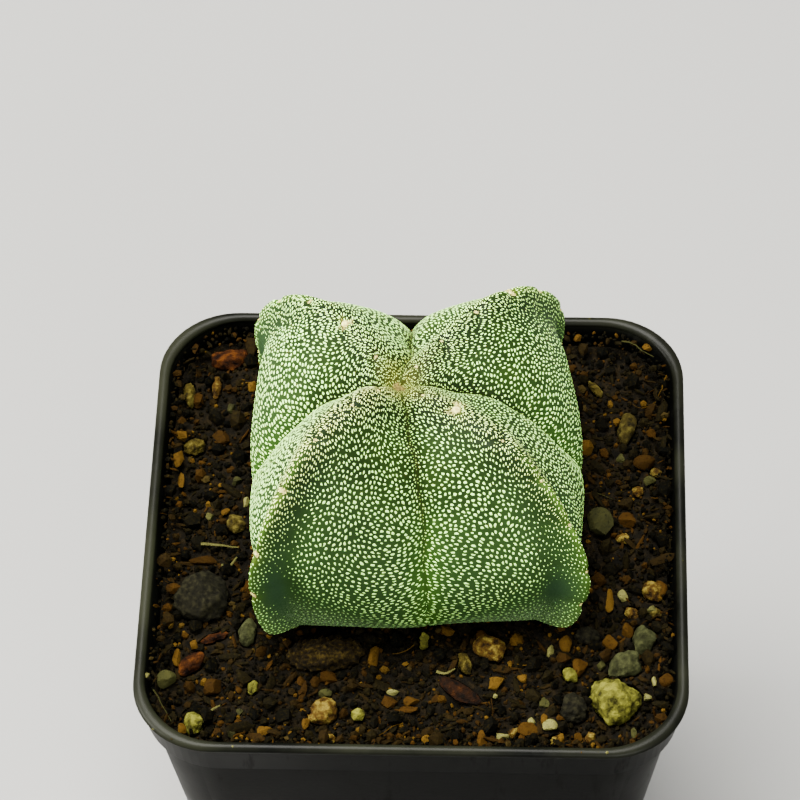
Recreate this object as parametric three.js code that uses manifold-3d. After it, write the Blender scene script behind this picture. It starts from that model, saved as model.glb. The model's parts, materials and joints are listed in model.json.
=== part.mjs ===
// Four-ribbed bishop's cap cactus in a square black nursery pot.
// Millimetres, +Z up. The origin is the centre of the pot's underside, and -Y is the front.
import * as THREE from "three";
import { mergeVertices } from "three/addons/utils/BufferGeometryUtils.js";
import Module from "manifold-3d";

const wasm = await Module();
wasm.setup();

// Driving dimensions of the pot
const potHeight = 75;
const rimSide = 75;
const rimCorner = 11;
const baseSide = 54;
const baseCorner = 8;
const wallThickness = 1.2;
const collarHeight = 7;
const collarStep = 0.8;
const collarDraft = 0.5;
const stepRise = 0.6;
const shoulderDrop = 0.4;
const beadRadius = 0.6;
const beadSteps = 5;
const edgeBreak = 0.4;
const footHeight = 2;
const footWidth = 2;
const drainRadius = 3;
const drainSides = 12;
const drainSpacing = 15;
const cornerSteps = 5;

// Driving dimensions of the soil
const gap = 0.3;
const soilDepth = 4;
const soilGrid = 28;
const grainHeight = 0.75;
const grainShift = 0.5;
const swellHeight = 0.35;
const borderRelief = 0.4;

// Driving dimensions of the cactus, whose heights are taken from the rim of the pot
const plantX = -1.5;
const plantY = 4.9;
const plantLean = 1.5;
const plantTall = 30;
const bodyHalf = [0, 3, 7.5, 13.3, 18.2, 21.5, 21.4, 19.2, 14.4];
const bodyHeight = [24.8, 26, 24.8, 22.8, 17.3, 9.7, 3.4, -2.8, -4.3];
const squareTop = 3.6;
const squareBase = 6.7;
const shoulderLift = [-0.4, 2.8, 3.5, -0.6];
const shoulderWidth = 0.35;
const ridgeReach = [0.2, 2.7, 4.3, 4.3];
const ridgeWidth = 1.5;
const furrowWidth = 1.2;
const furrowSpread = 0.12;
const furrowRounding = 0.1;
const furrowPinch = [0.07, 0.2, 0.04, 0];
const furrowDrop = [1.4, 3.3, 2.3, -0.9];
const tallRibShape = [0, 1, 1, 0.6, 0];

// Faces and ribs in the order front, front right, right, back right, back, back left, left, front left
const faces = [
  { azimuth: -80.5, fullness: 1.06 },
  { azimuth: 0.5, fullness: 1.15 },
  { azimuth: 88.5, fullness: 1.05 },
  { azimuth: 186, fullness: 1 },
];
const ribs = [
  { top: -35, base: -43, reach: 1.07, extra: -1.1 },
  { top: 54, base: 47, reach: 1.06, extra: -2 },
  { top: 138, base: 138, reach: 0.91, extra: 0.9 },
  { top: 230, base: 232, reach: 1.02, extra: 2.5 },
];

// The buried root, each ring as a share of the body's lowest ring with its height from the rim
const rootRings = [
  [0.72, -5.8],
  [0.45, -7.4],
  [0.27, -11],
  [0.16, -16],
];
const rootTip = -22;

// Flecks stand as larger-than-life bumps, and wool tufts sit along each rib from crown to foot
const bodyRows = 34;
const halfFaceSteps = 12;
const ribCrowding = 1.5;
const holeStations = [1, 0.95, 0.89, 0.82];
const fleckHeight = 0.5;
const fleckStart = 2.5;
const calmNearRib = 0.3;
const tuftStations = [0.12, 0.22, 0.34, 0.47, 0.6, 0.73];
const tuftRadius = 0.8;
const tuftShrink = 0.05;
const tuftFlatness = 0.8;
const crownTufts = 4;
const crownTuftRadius = 1;
const crownRise = 0.4;

// Loose pieces on the soil: place, length along x before turning, width, height, turn in degrees and colour
const looseStones = [
  { name: "stone_pale_pumice", at: [27.6, -26.6], size: [8.6, 7.6, 5.2], turn: -12, colour: 0xb5ad78 },
  { name: "stone_grey_green", at: [28.8, -20.8], size: [5.6, 5.2, 4], turn: 40, colour: 0x7f8a6c },
  { name: "stone_grey_pebble", at: [31.6, -16.6], size: [4, 4.9, 3.4], turn: -8, colour: 0x59604f },
  { name: "stone_cream_small", at: [21.5, -22.3], size: [2.8, 3.2, 2.4], turn: 15, colour: 0xb7a985 },
  { name: "stone_orange_curved", at: [10.7, -18.2], size: [5.6, 5, 3.2], turn: -35, colour: 0xb0825a },
  { name: "stone_yellow_green", at: [7.2, -20.8], size: [2.4, 4.8, 2.2], turn: 10, colour: 0x8b8f4f },
  { name: "bark_red", at: [6.5, -25.3], size: [8.9, 2.8, 1.8], turn: -38, colour: 0x5a2a17 },
  { name: "stone_orange_cream", at: [-11.8, -29], size: [4.8, 4.4, 3.8], turn: 30, colour: 0xb98353 },
  { name: "stone_cream_round", at: [-7, -29.2], size: [2.4, 2.5, 2.2], turn: 0, colour: 0x9a8560 },
  { name: "chip_pale_green", at: [-29.3, -31.2], size: [3, 4.2, 2.8], turn: 12, colour: 0x9ba482 },
  { name: "chip_pale_cream", at: [-21.5, -25.1], size: [1.9, 3.2, 1.8], turn: -20, colour: 0xa3a184 },
  { name: "stone_dark_large", at: [-29.1, -11.2], size: [8.7, 9.4, 5.4], turn: 15, colour: 0x2e302d },
  { name: "stone_grey_blue", at: [-22.6, -16.3], size: [2.9, 5.4, 3.4], turn: -10, colour: 0x4a5250 },
  { name: "bark_orange_left", at: [-30.1, -21.4], size: [5, 2.9, 2], turn: 50, colour: 0x7c3c1c },
  { name: "bark_orange_short", at: [-27.2, -17.1], size: [5.8, 1.8, 1.4], turn: 20, colour: 0x8a4520 },
  { name: "bark_brown_large", at: [-12, -19.6], size: [11.8, 6.4, 3.4], turn: 3, colour: 0x4a3018 },
  { name: "stone_cream_left", at: [-25.3, 2], size: [3, 3.8, 2.4], turn: 20, colour: 0xab8a52 },
  { name: "stone_yellow_left", at: [-32, 15.3], size: [3.8, 3, 2.4], turn: 10, colour: 0x9a7a3c },
  { name: "bark_orange_back", at: [-27.7, 31.2], size: [6.6, 4.4, 2.8], turn: 12, colour: 0x96491f },
  { name: "chip_yellow_back", at: [-33.3, 24.8], size: [1.9, 5.6, 2.6], turn: 8, colour: 0x7c6432 },
  { name: "stone_orange_mid", at: [-29.5, 26.2], size: [1.8, 5.6, 2], turn: 0, colour: 0x8f4a1e },
  { name: "stone_yellow_right", at: [29.4, 19.8], size: [2.8, 7, 3], turn: -8, colour: 0x6f5a2a },
  { name: "chip_curved_back", at: [25, 26.9], size: [4.9, 1.7, 1.7], turn: -55, colour: 0x6d5c3c },
  { name: "stone_amber_far", at: [33.5, 12], size: [2.2, 2.2, 2], turn: 0, colour: 0x7d5426 },
  { name: "stone_amber_mid", at: [30.9, 8.8], size: [2.2, 2, 1.8], turn: 30, colour: 0x6f4a22 },
  { name: "stone_amber_near", at: [28.7, 0.7], size: [2.6, 2.2, 1.8], turn: 0, colour: 0x7b4220 },
  { name: "stone_orange_corner", at: [33.1, -8.3], size: [3.8, 3.9, 2.6], turn: 15, colour: 0x8a4c22 },
  { name: "stone_orange_low", at: [30, -12.2], size: [2.8, 3, 2.2], turn: 0, colour: 0x8c5226 },
  { name: "stone_yellow_corner", at: [33.1, -11.9], size: [2.4, 2.2, 1.8], turn: 20, colour: 0x9a7a3c },
  { name: "stone_dark_front", at: [21.9, -28], size: [4.2, 5.6, 3.2], turn: 10, colour: 0x35322f },
  { name: "stone_dark_right", at: [23.9, -15.8], size: [4, 3, 2.4], turn: 0, colour: 0x303230 },
  { name: "chip_pale_stub", at: [1.6, -17.6], size: [1.6, 1.7, 5.8], turn: 0, colour: 0x8d9468 },
];
const rimStones = [
  [-10.7, -33.1],
  [14, -31.8],
  [19.6, -33],
  [24.3, -32.4],
];
const rimStoneSize = [2.2, 2, 2];
const sunkShare = 0.36;
const smallStone = 26;
const cutPlanes = 9;
const cutShift = 0.2;
const cutDepth = [0.66, 0.88];
const socketPlay = 0.42;

// Seeded draws

function seededRandom(seed) {
  let state = seed >>> 0;
  return () => {
    state = (state + 0x6d2b79f5) >>> 0;
    let t = Math.imul(state ^ (state >>> 15), 1 | state);
    t = (t + Math.imul(t ^ (t >>> 7), 61 | t)) ^ t;
    return ((t ^ (t >>> 14)) >>> 0) / 2 ** 32;
  };
}

// Smooth curve through equally spaced values, for a share from 0 to 1
function smooth(values, share) {
  const last = values.length - 1;
  const x = THREE.MathUtils.clamp(share, 0, 1) * last;
  const i = Math.min(Math.floor(x), last - 1);
  const t = x - i;
  const before = values[Math.max(i - 1, 0)];
  const here = values[i];
  const next = values[i + 1];
  const after = values[Math.min(i + 2, last)];
  const linear = (next - before) * t;
  const square = (2 * before - 5 * here + 4 * next - after) * t * t;
  const cube = (3 * here - before - 3 * next + after) * t * t * t;
  return 0.5 * (2 * here + linear + square + cube);
}

// Closed skin through rings of equal length, from the point under the first to the point over the last
function loft(rings, start, end) {
  const count = rings[0].length;
  const positions = [];
  const index = [];
  rings.forEach((ring) => ring.forEach((p) => positions.push(p.x, p.y, p.z)));
  const startIndex = rings.length * count;
  const endIndex = startIndex + 1;
  positions.push(start.x, start.y, start.z, end.x, end.y, end.z);
  const lastRow = (rings.length - 1) * count;
  for (let i = 0; i < count; i++) {
    const k = (i + 1) % count;
    index.push(startIndex, k, i);
    index.push(endIndex, lastRow + i, lastRow + k);
    for (let row = 0; row < lastRow; row += count) {
      index.push(row + i, row + k, row + count + k);
      index.push(row + i, row + count + k, row + count + i);
    }
  }
  const geometry = new THREE.BufferGeometry();
  geometry.setAttribute("position", new THREE.Float32BufferAttribute(positions, 3));
  geometry.setIndex(index);
  return geometry;
}

// Joins and cuts

function solid(geometry) {
  const plain = geometry.clone();
  plain.deleteAttribute("normal");
  plain.deleteAttribute("uv");
  const merged = mergeVertices(plain, 1e-4);
  const mesh = new wasm.Mesh({
    numProp: 3,
    vertProperties: merged.attributes.position.array,
    triVerts: new Uint32Array(merged.index.array),
  });
  return new wasm.Manifold(mesh);
}

// The largest body alone, so a loose crumb left by a cut is dropped
function geometryOf(cut) {
  const bodies = cut.decompose();
  bodies.sort((a, b) => b.volume() - a.volume());
  const mesh = bodies[0].getMesh();
  const geometry = new THREE.BufferGeometry();
  geometry.setAttribute("position", new THREE.BufferAttribute(new Float32Array(mesh.vertProperties), 3));
  geometry.setIndex(new THREE.BufferAttribute(new Uint32Array(mesh.triVerts), 1));
  return geometry;
}

function named(name, geometry, colour, roughness) {
  const faceted = geometry.index ? geometry.toNonIndexed() : geometry;
  faceted.computeVertexNormals();
  const material = new THREE.MeshStandardMaterial({ color: colour, roughness, metalness: 0 });
  const mesh = new THREE.Mesh(faceted, material);
  mesh.name = name;
  return mesh;
}

// Rounded squares

function cornerOf(side) {
  return baseCorner + ((rimCorner - baseCorner) * (side - baseSide)) / (rimSide - baseSide);
}

// One ring of the pot: the outline of that side, drawn in by the inset, at a height
function squareRing(side, inset, z) {
  const corner = cornerOf(side) - inset;
  const centre = side / 2 - inset - corner;
  const ring = [];
  for (let quarter = 0; quarter < 4; quarter++) {
    const middle = (quarter + 0.5) * (Math.PI / 2);
    const x = centre * Math.SQRT2 * Math.cos(middle);
    const y = centre * Math.SQRT2 * Math.sin(middle);
    for (let i = 0; i <= cornerSteps; i++) {
      const angle = (quarter + i / cornerSteps) * (Math.PI / 2);
      ring.push(new THREE.Vector3(x + corner * Math.cos(angle), y + corner * Math.sin(angle), z));
    }
  }
  return ring;
}

// Where a ray from the middle towards (u, v) meets the outline of that side, drawn in by the inset
function squareEdge(u, v, side, inset) {
  const corner = cornerOf(side) - inset;
  const half = side / 2 - inset;
  const centre = half - corner;
  const longest = Math.max(Math.abs(u), Math.abs(v));
  const x = (u / longest) * half;
  const y = (v / longest) * half;
  if (Math.abs(x) <= centre || Math.abs(y) <= centre) return new THREE.Vector2(x, y);
  const ray = new THREE.Vector2(u, v).normalize();
  const along = centre * (Math.abs(ray.x) + Math.abs(ray.y));
  const reach = along + Math.sqrt(along * along - 2 * centre * centre + corner * corner);
  return ray.multiplyScalar(reach);
}

// The pot

const collarFoot = potHeight - collarHeight;
const collarSide = rimSide - 2 * beadRadius;
const shoulderSide = collarSide - 2 * collarStep - 2 * collarDraft;
const innerCollarSide = shoulderSide + 2 * collarStep;
const floorTop = footHeight + wallThickness;

// The wall's outline from the foot's inside up the outside, round the bead and down to the floor
function potWallRings() {
  const beadTop = potHeight - beadRadius;
  const rings = [
    squareRing(baseSide, footWidth + edgeBreak, footHeight),
    squareRing(baseSide, footWidth, 0),
    squareRing(baseSide, edgeBreak, 0),
    squareRing(baseSide, 0, edgeBreak),
    squareRing(shoulderSide, 0, collarFoot),
    squareRing(innerCollarSide, 0, collarFoot + stepRise),
    squareRing(collarSide, 0, potHeight - 3 * beadRadius),
  ];
  for (let i = 0; i <= beadSteps; i++) {
    const angle = -Math.PI / 6 + ((Math.PI * 4) / 3) * (i / beadSteps);
    const inset = beadRadius * (1 - Math.cos(angle));
    rings.push(squareRing(rimSide, inset, beadTop + beadRadius * Math.sin(angle)));
  }
  rings.push(
    squareRing(collarSide, wallThickness, potHeight - 3 * beadRadius),
    squareRing(innerCollarSide, wallThickness, collarFoot + stepRise),
    squareRing(shoulderSide, wallThickness, collarFoot - shoulderDrop),
    squareRing(baseSide, wallThickness, floorTop),
  );
  return rings;
}

function drainHole(x, y) {
  const hole = new THREE.CylinderGeometry(drainRadius, drainRadius, 3 * floorTop, drainSides);
  hole.rotateX(Math.PI / 2);
  hole.translate(x, y, 0);
  return solid(hole);
}

function makePot() {
  const underside = new THREE.Vector3(0, 0, footHeight);
  const floor = new THREE.Vector3(0, 0, floorTop);
  let pot = solid(loft(potWallRings(), underside, floor));
  for (const x of [-1, 0, 1]) {
    for (const y of [-1, 0, 1]) {
      if (Math.abs(x) !== Math.abs(y)) continue;
      pot = pot.subtract(drainHole(x * drainSpacing, y * drainSpacing));
    }
  }
  return named("pot", geometryOf(pot), 0x141615, 0.42);
}

// The cactus: every point of its skin from a station (0 crown, 1 foot) and an angle around the section,
// where 0, 90, 180 and 270 are the furrows of the faces and 45, 135, 225 and 315 the ribs

function hill(distance, width) {
  return Math.exp(-((distance / width) ** 2));
}

// The face that an angle lies on, its degrees from that face's furrow, and the rib on that side
function faceAt(angle) {
  const face = Math.floor(THREE.MathUtils.euclideanModulo(angle + 45, 360) / 90);
  const offset = ((angle - 90 * face + 540) % 360) - 180;
  const side = offset >= 0 ? face : face - 1;
  return { face, side, offset: Math.abs(offset) };
}

function ribOf(side) {
  return ribs[(side + ribs.length) % ribs.length];
}

// A rib's direction, which turns a little on its way down, and is kept just before that of the front face
function ribAzimuth(side, station) {
  const { top, base } = ribOf(side);
  return THREE.MathUtils.lerp(top, base, station) - (side < 0 ? 360 : 0);
}

// Radius of the plain section, a square whose corners are rounder towards the crown
function sectionRadius(station, turn) {
  const power = THREE.MathUtils.lerp(squareTop, squareBase, station);
  return smooth(bodyHalf, station) / Math.pow(Math.cos(turn) ** power + Math.sin(turn) ** power, 1 / power);
}

// How much of the furrow is felt at a distance along the skin from its line
function furrowShare(station, distance) {
  const width = furrowWidth + furrowSpread * smooth(bodyHalf, station);
  return Math.exp(-Math.sqrt(distance ** 2 + furrowRounding) / width);
}

function skinPoint(station, angle) {
  const { face, side, offset } = faceAt(angle);
  const share = offset / 45;
  const ribShare = 0.5 - 0.5 * Math.cos(Math.PI * share);
  const turn = THREE.MathUtils.degToRad(offset);
  const fromRib = Math.PI / 4 - turn;
  const section = sectionRadius(station, turn);
  const furrow = furrowShare(station, turn * section);
  const scale = THREE.MathUtils.lerp(faces[face].fullness, ribOf(side).reach, ribShare);
  const pinched = section * (1 - smooth(furrowPinch, station) * furrow) * scale;
  const radius = pinched + smooth(ridgeReach, station) * hill(fromRib * section, ridgeWidth);
  const lift = smooth(shoulderLift, station) * hill(fromRib, shoulderWidth);
  const drop = smooth(furrowDrop, station) * furrow;
  const taller = ribOf(side).extra * ribShare * smooth(tallRibShape, station);
  const z = smooth(bodyHeight, station) + lift - drop + taller;
  const lean = (plantLean * (z + soilDepth)) / plantTall;
  const degrees = THREE.MathUtils.lerp(faces[face].azimuth, ribAzimuth(side, station), share);
  const azimuth = THREE.MathUtils.degToRad(degrees);
  return new THREE.Vector3(
    plantX + radius * Math.cos(azimuth),
    plantY + lean + radius * Math.sin(azimuth),
    potHeight + z,
  );
}

// Angles round the section, closer together towards each rib
function sectionAngles(steps) {
  const angles = [];
  for (let face = 0; face < faces.length; face++) {
    for (let i = -steps; i < steps; i++) {
      const near = 1 - Math.pow(1 - Math.abs(i) / steps, ribCrowding);
      angles.push(90 * face + Math.sign(i) * 45 * near);
    }
  }
  return angles;
}

function rootRing(lowest, share, height) {
  return lowest.map((p) => {
    const x = THREE.MathUtils.lerp(plantX, p.x, share);
    const y = THREE.MathUtils.lerp(plantY, p.y, share);
    return new THREE.Vector3(x, y, potHeight + height);
  });
}

// Rings from the root tip up to a station, and for a finished body on to the crown
function cactusRings(stations, angles) {
  const rings = stations.map((station) => angles.map((angle) => skinPoint(station, angle)));
  const buried = rootRings.map(([share, height]) => rootRing(rings[0], share, height));
  return [...buried.reverse(), ...rings];
}

function skinNormals(rings) {
  return rings.map((ring, j) =>
    ring.map((point, i) => {
      const count = ring.length;
      const above = rings[Math.min(j + 1, rings.length - 1)][i];
      const below = rings[Math.max(j - 1, 0)][i];
      const along = new THREE.Vector3().subVectors(ring[(i + 1) % count], ring[(i + count - 1) % count]);
      return along.cross(new THREE.Vector3().subVectors(above, below)).normalize();
    }),
  );
}

function grown(rings, amount) {
  const normals = skinNormals(rings);
  return rings.map((ring, j) => ring.map((point, i) => point.clone().addScaledVector(normals[j][i], amount)));
}

// Every third point stands out, each with lower points all round it, as one enlarged fleck
function fleckedRings(rings) {
  const normals = skinNormals(rings);
  const quarter = 2 * halfFaceSteps;
  return rings.map((ring, j) =>
    ring.map((point, i) => {
      const overSoil = point.z > potHeight - soilDepth + fleckStart;
      if (!overSoil || (i + j) % 3 !== 0) return point;
      const fromRib = Math.min(i % quarter, quarter - (i % quarter)) / halfFaceSteps;
      const full = Math.min(1, calmNearRib + 2 * fromRib);
      return point.clone().addScaledVector(normals[j][i], fleckHeight * full);
    }),
  );
}

function tuft(centre, radius) {
  const wool = new THREE.IcosahedronGeometry(radius, 0);
  wool.scale(1, 1, tuftFlatness);
  wool.translate(centre.x, centre.y, centre.z);
  return solid(wool);
}

function makeCactus() {
  const stations = [];
  for (let j = bodyRows; j >= 1; j--) stations.push(j / bodyRows);
  const rings = fleckedRings(cactusRings(stations, sectionAngles(halfFaceSteps)));
  const tip = new THREE.Vector3(plantX, plantY, potHeight + rootTip);
  const crown = skinPoint(0, 0);
  let body = solid(loft(rings, tip, crown));
  ribs.forEach((rib, k) => {
    tuftStations.forEach((station, i) => {
      const place = skinPoint(station, 45 + 90 * k);
      body = body.add(tuft(place, tuftRadius * (1 - tuftShrink * i)));
    });
  });
  for (let i = 0; i < crownTufts; i++) {
    const angle = (i / crownTufts) * 2 * Math.PI;
    const ring = new THREE.Vector3(Math.cos(angle), Math.sin(angle), crownRise).multiplyScalar(tuftRadius);
    body = body.add(tuft(ring.add(crown), crownTuftRadius));
  }
  return named("cactus", geometryOf(body), 0x7f9a63, 0.75);
}

// The plain hole that the cactus stands in
function cactusHole() {
  const rings = grown(cactusRings(holeStations, sectionAngles(halfFaceSteps / 2)), 2 * gap);
  const tip = new THREE.Vector3(plantX, plantY, potHeight + rootTip - 2 * gap);
  const top = new THREE.Vector3(plantX, plantY, rings[rings.length - 1][0].z);
  return solid(loft(rings, tip, top));
}

// Broken stones: a ball cut flat by a few planes at seeded angles, stretched to its size

// Directions that wind down the ball at the golden angle, each a little off its place
function cutDirections(random) {
  const goldenAngle = Math.PI * (3 - Math.sqrt(5));
  const directions = [];
  for (let i = 0; i < cutPlanes; i++) {
    const turn = i * goldenAngle + random();
    const even = 1 - (2 * i + 1) / cutPlanes;
    const z = THREE.MathUtils.clamp(even + cutShift * (random() - 0.5), -1, 1);
    const flat = Math.sqrt(1 - z * z);
    directions.push(new THREE.Vector3(flat * Math.cos(turn), flat * Math.sin(turn), z));
  }
  return directions;
}

function brokenStone(size, seed, grow) {
  const random = seededRandom(seed);
  const [deepest, shallowest] = cutDepth;
  const planes = cutDirections(random).map((normal) => {
    return { normal, distance: THREE.MathUtils.lerp(deepest, shallowest, random()) };
  });
  const [length, width, height] = size;
  const detail = length * width * height < smallStone ? 0 : 1;
  const geometry = new THREE.IcosahedronGeometry(1, detail);
  const half = new THREE.Vector3(length, width, height).multiplyScalar(0.5).addScalar(grow);
  const position = geometry.attributes.position;
  const point = new THREE.Vector3();
  for (let i = 0; i < position.count; i++) {
    point.fromBufferAttribute(position, i).normalize();
    const reaches = planes.map(({ normal, distance }) => distance / Math.max(normal.dot(point), distance));
    point.multiplyScalar(Math.min(...reaches)).multiply(half);
    position.setXYZ(i, point.x, point.y, point.z);
  }
  return geometry;
}

function stonePlacement({ at, size, turn }) {
  const sunk = size[2] * (0.5 - sunkShare);
  const position = new THREE.Vector3(at[0], at[1], potHeight - soilDepth + sunk);
  const rotation = new THREE.Quaternion().setFromAxisAngle(
    new THREE.Vector3(0, 0, 1),
    THREE.MathUtils.degToRad(turn),
  );
  return { position, rotation };
}

function allStones() {
  const rim = rimStones.map((at, i) => {
    return { name: `stone_rim_${i + 1}`, at, size: rimStoneSize, turn: 37 * i, colour: 0x8c4a1c };
  });
  return [...looseStones, ...rim];
}

function makeStone(stone, seed) {
  const mesh = named(stone.name, brokenStone(stone.size, seed, 0), stone.colour, 0.9);
  const { position, rotation } = stonePlacement(stone);
  mesh.position.copy(position);
  mesh.quaternion.copy(rotation);
  return mesh;
}

function stoneSocket(stone, seed) {
  const { position, rotation } = stonePlacement(stone);
  const geometry = brokenStone(stone.size, seed, socketPlay);
  geometry.applyMatrix4(new THREE.Matrix4().compose(position, rotation, new THREE.Vector3(1, 1, 1)));
  return solid(geometry);
}

// The soil: a plug that fills the pot, with a gritty top

// Height of the grit over its level: long low swells and a grain's rise or fall
function soilRelief(u, v, random) {
  const swell = swellHeight * Math.sin(5 * u + 1) * Math.cos(4 * v - 0.5);
  return swell + grainHeight * (2 * random() - 1);
}

// Inside the border each point moves a little aside, and on the border it lies flatter
function soilTop(random) {
  const rows = [];
  for (let j = 0; j < soilGrid; j++) {
    const row = [];
    for (let i = 0; i < soilGrid; i++) {
      const u = (2 * i) / (soilGrid - 1) - 1;
      const v = (2 * j) / (soilGrid - 1) - 1;
      const share = Math.max(Math.abs(u), Math.abs(v));
      const edge = squareEdge(u, v, innerCollarSide, wallThickness + gap);
      const inside = share < 1 ? 1 : 0;
      const x = edge.x * share + inside * grainShift * (random() - 0.5);
      const y = edge.y * share + inside * grainShift * (random() - 0.5);
      const relief = soilRelief(u, v, random) * (inside ? 1 : borderRelief);
      row.push(new THREE.Vector3(x, y, potHeight - soilDepth + relief));
    }
    rows.push(row);
  }
  return rows;
}

// The grid's border, anticlockwise from its lowest corner, as steps of column and row
function gridBorder() {
  const last = soilGrid - 1;
  const border = [];
  for (let i = 0; i < last; i++) border.push([i, 0]);
  for (let i = 0; i < last; i++) border.push([last, i]);
  for (let i = last; i > 0; i--) border.push([i, last]);
  for (let i = last; i > 0; i--) border.push([0, i]);
  return border;
}

function soilPlug() {
  const rows = soilTop(seededRandom(11));
  const positions = [];
  const index = [];
  rows.forEach((row) => row.forEach((p) => positions.push(p.x, p.y, p.z)));
  for (let j = 0; j < soilGrid - 1; j++) {
    for (let i = 0; i < soilGrid - 1; i++) {
      const a = j * soilGrid + i;
      const b = a + 1;
      const c = a + soilGrid + 1;
      const d = a + soilGrid;
      if ((i + j) % 2) index.push(a, b, c, a, c, d);
      else index.push(a, b, d, b, c, d);
    }
  }
  const border = gridBorder();
  const sides = [
    [innerCollarSide, collarFoot + 1],
    [shoulderSide, collarFoot - shoulderDrop],
    [baseSide, floorTop + gap],
  ];
  let upper = border.map(([i, j]) => j * soilGrid + i);
  sides.forEach(([side, z]) => {
    const lower = border.map(([i, j]) => {
      const u = (2 * i) / (soilGrid - 1) - 1;
      const v = (2 * j) / (soilGrid - 1) - 1;
      const edge = squareEdge(u, v, side, wallThickness + gap);
      positions.push(edge.x, edge.y, z);
      return positions.length / 3 - 1;
    });
    upper.forEach((top, i) => {
      const k = (i + 1) % border.length;
      index.push(lower[i], lower[k], upper[k], lower[i], upper[k], top);
    });
    upper = lower;
  });
  positions.push(0, 0, floorTop + gap);
  const middle = positions.length / 3 - 1;
  upper.forEach((a, i) => index.push(middle, upper[(i + 1) % upper.length], a));
  const geometry = new THREE.BufferGeometry();
  geometry.setAttribute("position", new THREE.Float32BufferAttribute(positions, 3));
  geometry.setIndex(index);
  return solid(geometry);
}

function makeSoil(stones) {
  let soil = soilPlug().subtract(cactusHole());
  stones.forEach((stone, i) => {
    soil = soil.subtract(stoneSocket(stone, i + 1));
  });
  return named("soil", geometryOf(soil), 0x2b1c12, 0.95);
}

// The whole plant in its pot

const pottedCactus = new THREE.Group();
const stones = allStones();
const stoneGroup = new THREE.Group();
stones.forEach((stone, i) => stoneGroup.add(makeStone(stone, i + 1)));
pottedCactus.add(makePot(), makeSoil(stones), makeCactus(), stoneGroup);

export default pottedCactus;
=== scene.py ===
import json
import math

import bpy
import numpy as np
from mathutils import Matrix, Vector, noise
from mathutils.bvhtree import BVHTree
from mathutils.kdtree import KDTree


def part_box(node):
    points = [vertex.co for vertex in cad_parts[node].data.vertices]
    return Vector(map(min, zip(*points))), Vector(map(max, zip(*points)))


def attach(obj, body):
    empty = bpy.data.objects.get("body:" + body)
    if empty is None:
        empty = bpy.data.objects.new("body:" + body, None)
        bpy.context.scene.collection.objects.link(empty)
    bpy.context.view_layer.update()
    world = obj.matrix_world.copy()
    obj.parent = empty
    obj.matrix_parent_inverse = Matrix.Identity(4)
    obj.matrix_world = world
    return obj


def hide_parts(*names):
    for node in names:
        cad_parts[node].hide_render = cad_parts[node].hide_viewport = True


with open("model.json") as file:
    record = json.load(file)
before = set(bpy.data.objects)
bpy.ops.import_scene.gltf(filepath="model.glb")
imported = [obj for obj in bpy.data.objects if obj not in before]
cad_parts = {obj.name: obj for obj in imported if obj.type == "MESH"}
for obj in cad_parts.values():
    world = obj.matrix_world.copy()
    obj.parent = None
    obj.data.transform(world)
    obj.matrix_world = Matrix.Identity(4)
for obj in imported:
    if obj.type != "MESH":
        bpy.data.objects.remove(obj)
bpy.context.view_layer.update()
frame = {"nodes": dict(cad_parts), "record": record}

# A four-ribbed bishop's cap cactus in a square black nursery pot, in metres, +Z up, the front towards -Y

MM = 0.001

# The camera stands where the photograph was taken from, worked out from the outline of the pot's rim
PICTURE = 800
FOCAL_PIXELS = 3870
SENSOR = 36
CAMERA_AZIMUTH = math.radians(2.9)
CAMERA_ELEVATION = math.radians(52.4)
CAMERA_ROLL = math.radians(-1.5)
CAMERA_DISTANCE = 550 * MM
CAMERA_NEAR = 0.01
CAMERA_FAR = 20

# The pot
POT_LOW, POT_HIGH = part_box("pot")
RIM = POT_HIGH.z
RIM_HALF = POT_HIGH.x
RIM_CORNER = 11 * MM
BASE_HALF = 27 * MM
WALL = 1.2 * MM
BEAD = 0.6 * MM
BEAD_HALF_WIDTH = 0.75 * MM
COLLAR_HEIGHT = 7 * MM
COLLAR_STEP = 0.8 * MM
FOOT_HEIGHT = 2 * MM
FOOT_WIDTH = 2 * MM
DRAIN_RADIUS = 3 * MM
DRAIN_SIDES = 32
DRAIN_SPACING = 15 * MM
CORNER_STEPS = 14
CAMERA_TARGET = Vector((-2.84 * MM, 21.6 * MM, RIM))

# The soil and its loose grains: how many are tried, their smallest and largest size, how closely they
# lie, how high they sit, the share of flat splinters, and how far their tones run towards cream
SOIL_DEPTH = 4 * MM
SOIL_HALF = RIM_HALF - BEAD - WALL - 0.05 * MM
SOIL_CORNER = 9.5 * MM
SOIL_BANK = 2.5 * MM
SOIL_BANK_WIDTH = 2.2 * MM
GRAINS = {
    "grit_coarse": (1500, (1.5 * MM, 3.2 * MM), 0.82, 0.12, 0.3, 0.86),
    "grit_middle": (5200, (0.85 * MM, 1.6 * MM), 0.72, 0.12, 0.3, 0.9),
    "grit_fine": (14000, (0.4 * MM, 0.85 * MM), 0.7, 0.2, 0.15, 0.88),
}
GRAIN_INSET = 0.25
GRAIN_CLEARANCE = 0.3
STONE_FOOTPRINT = 0.42

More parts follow.
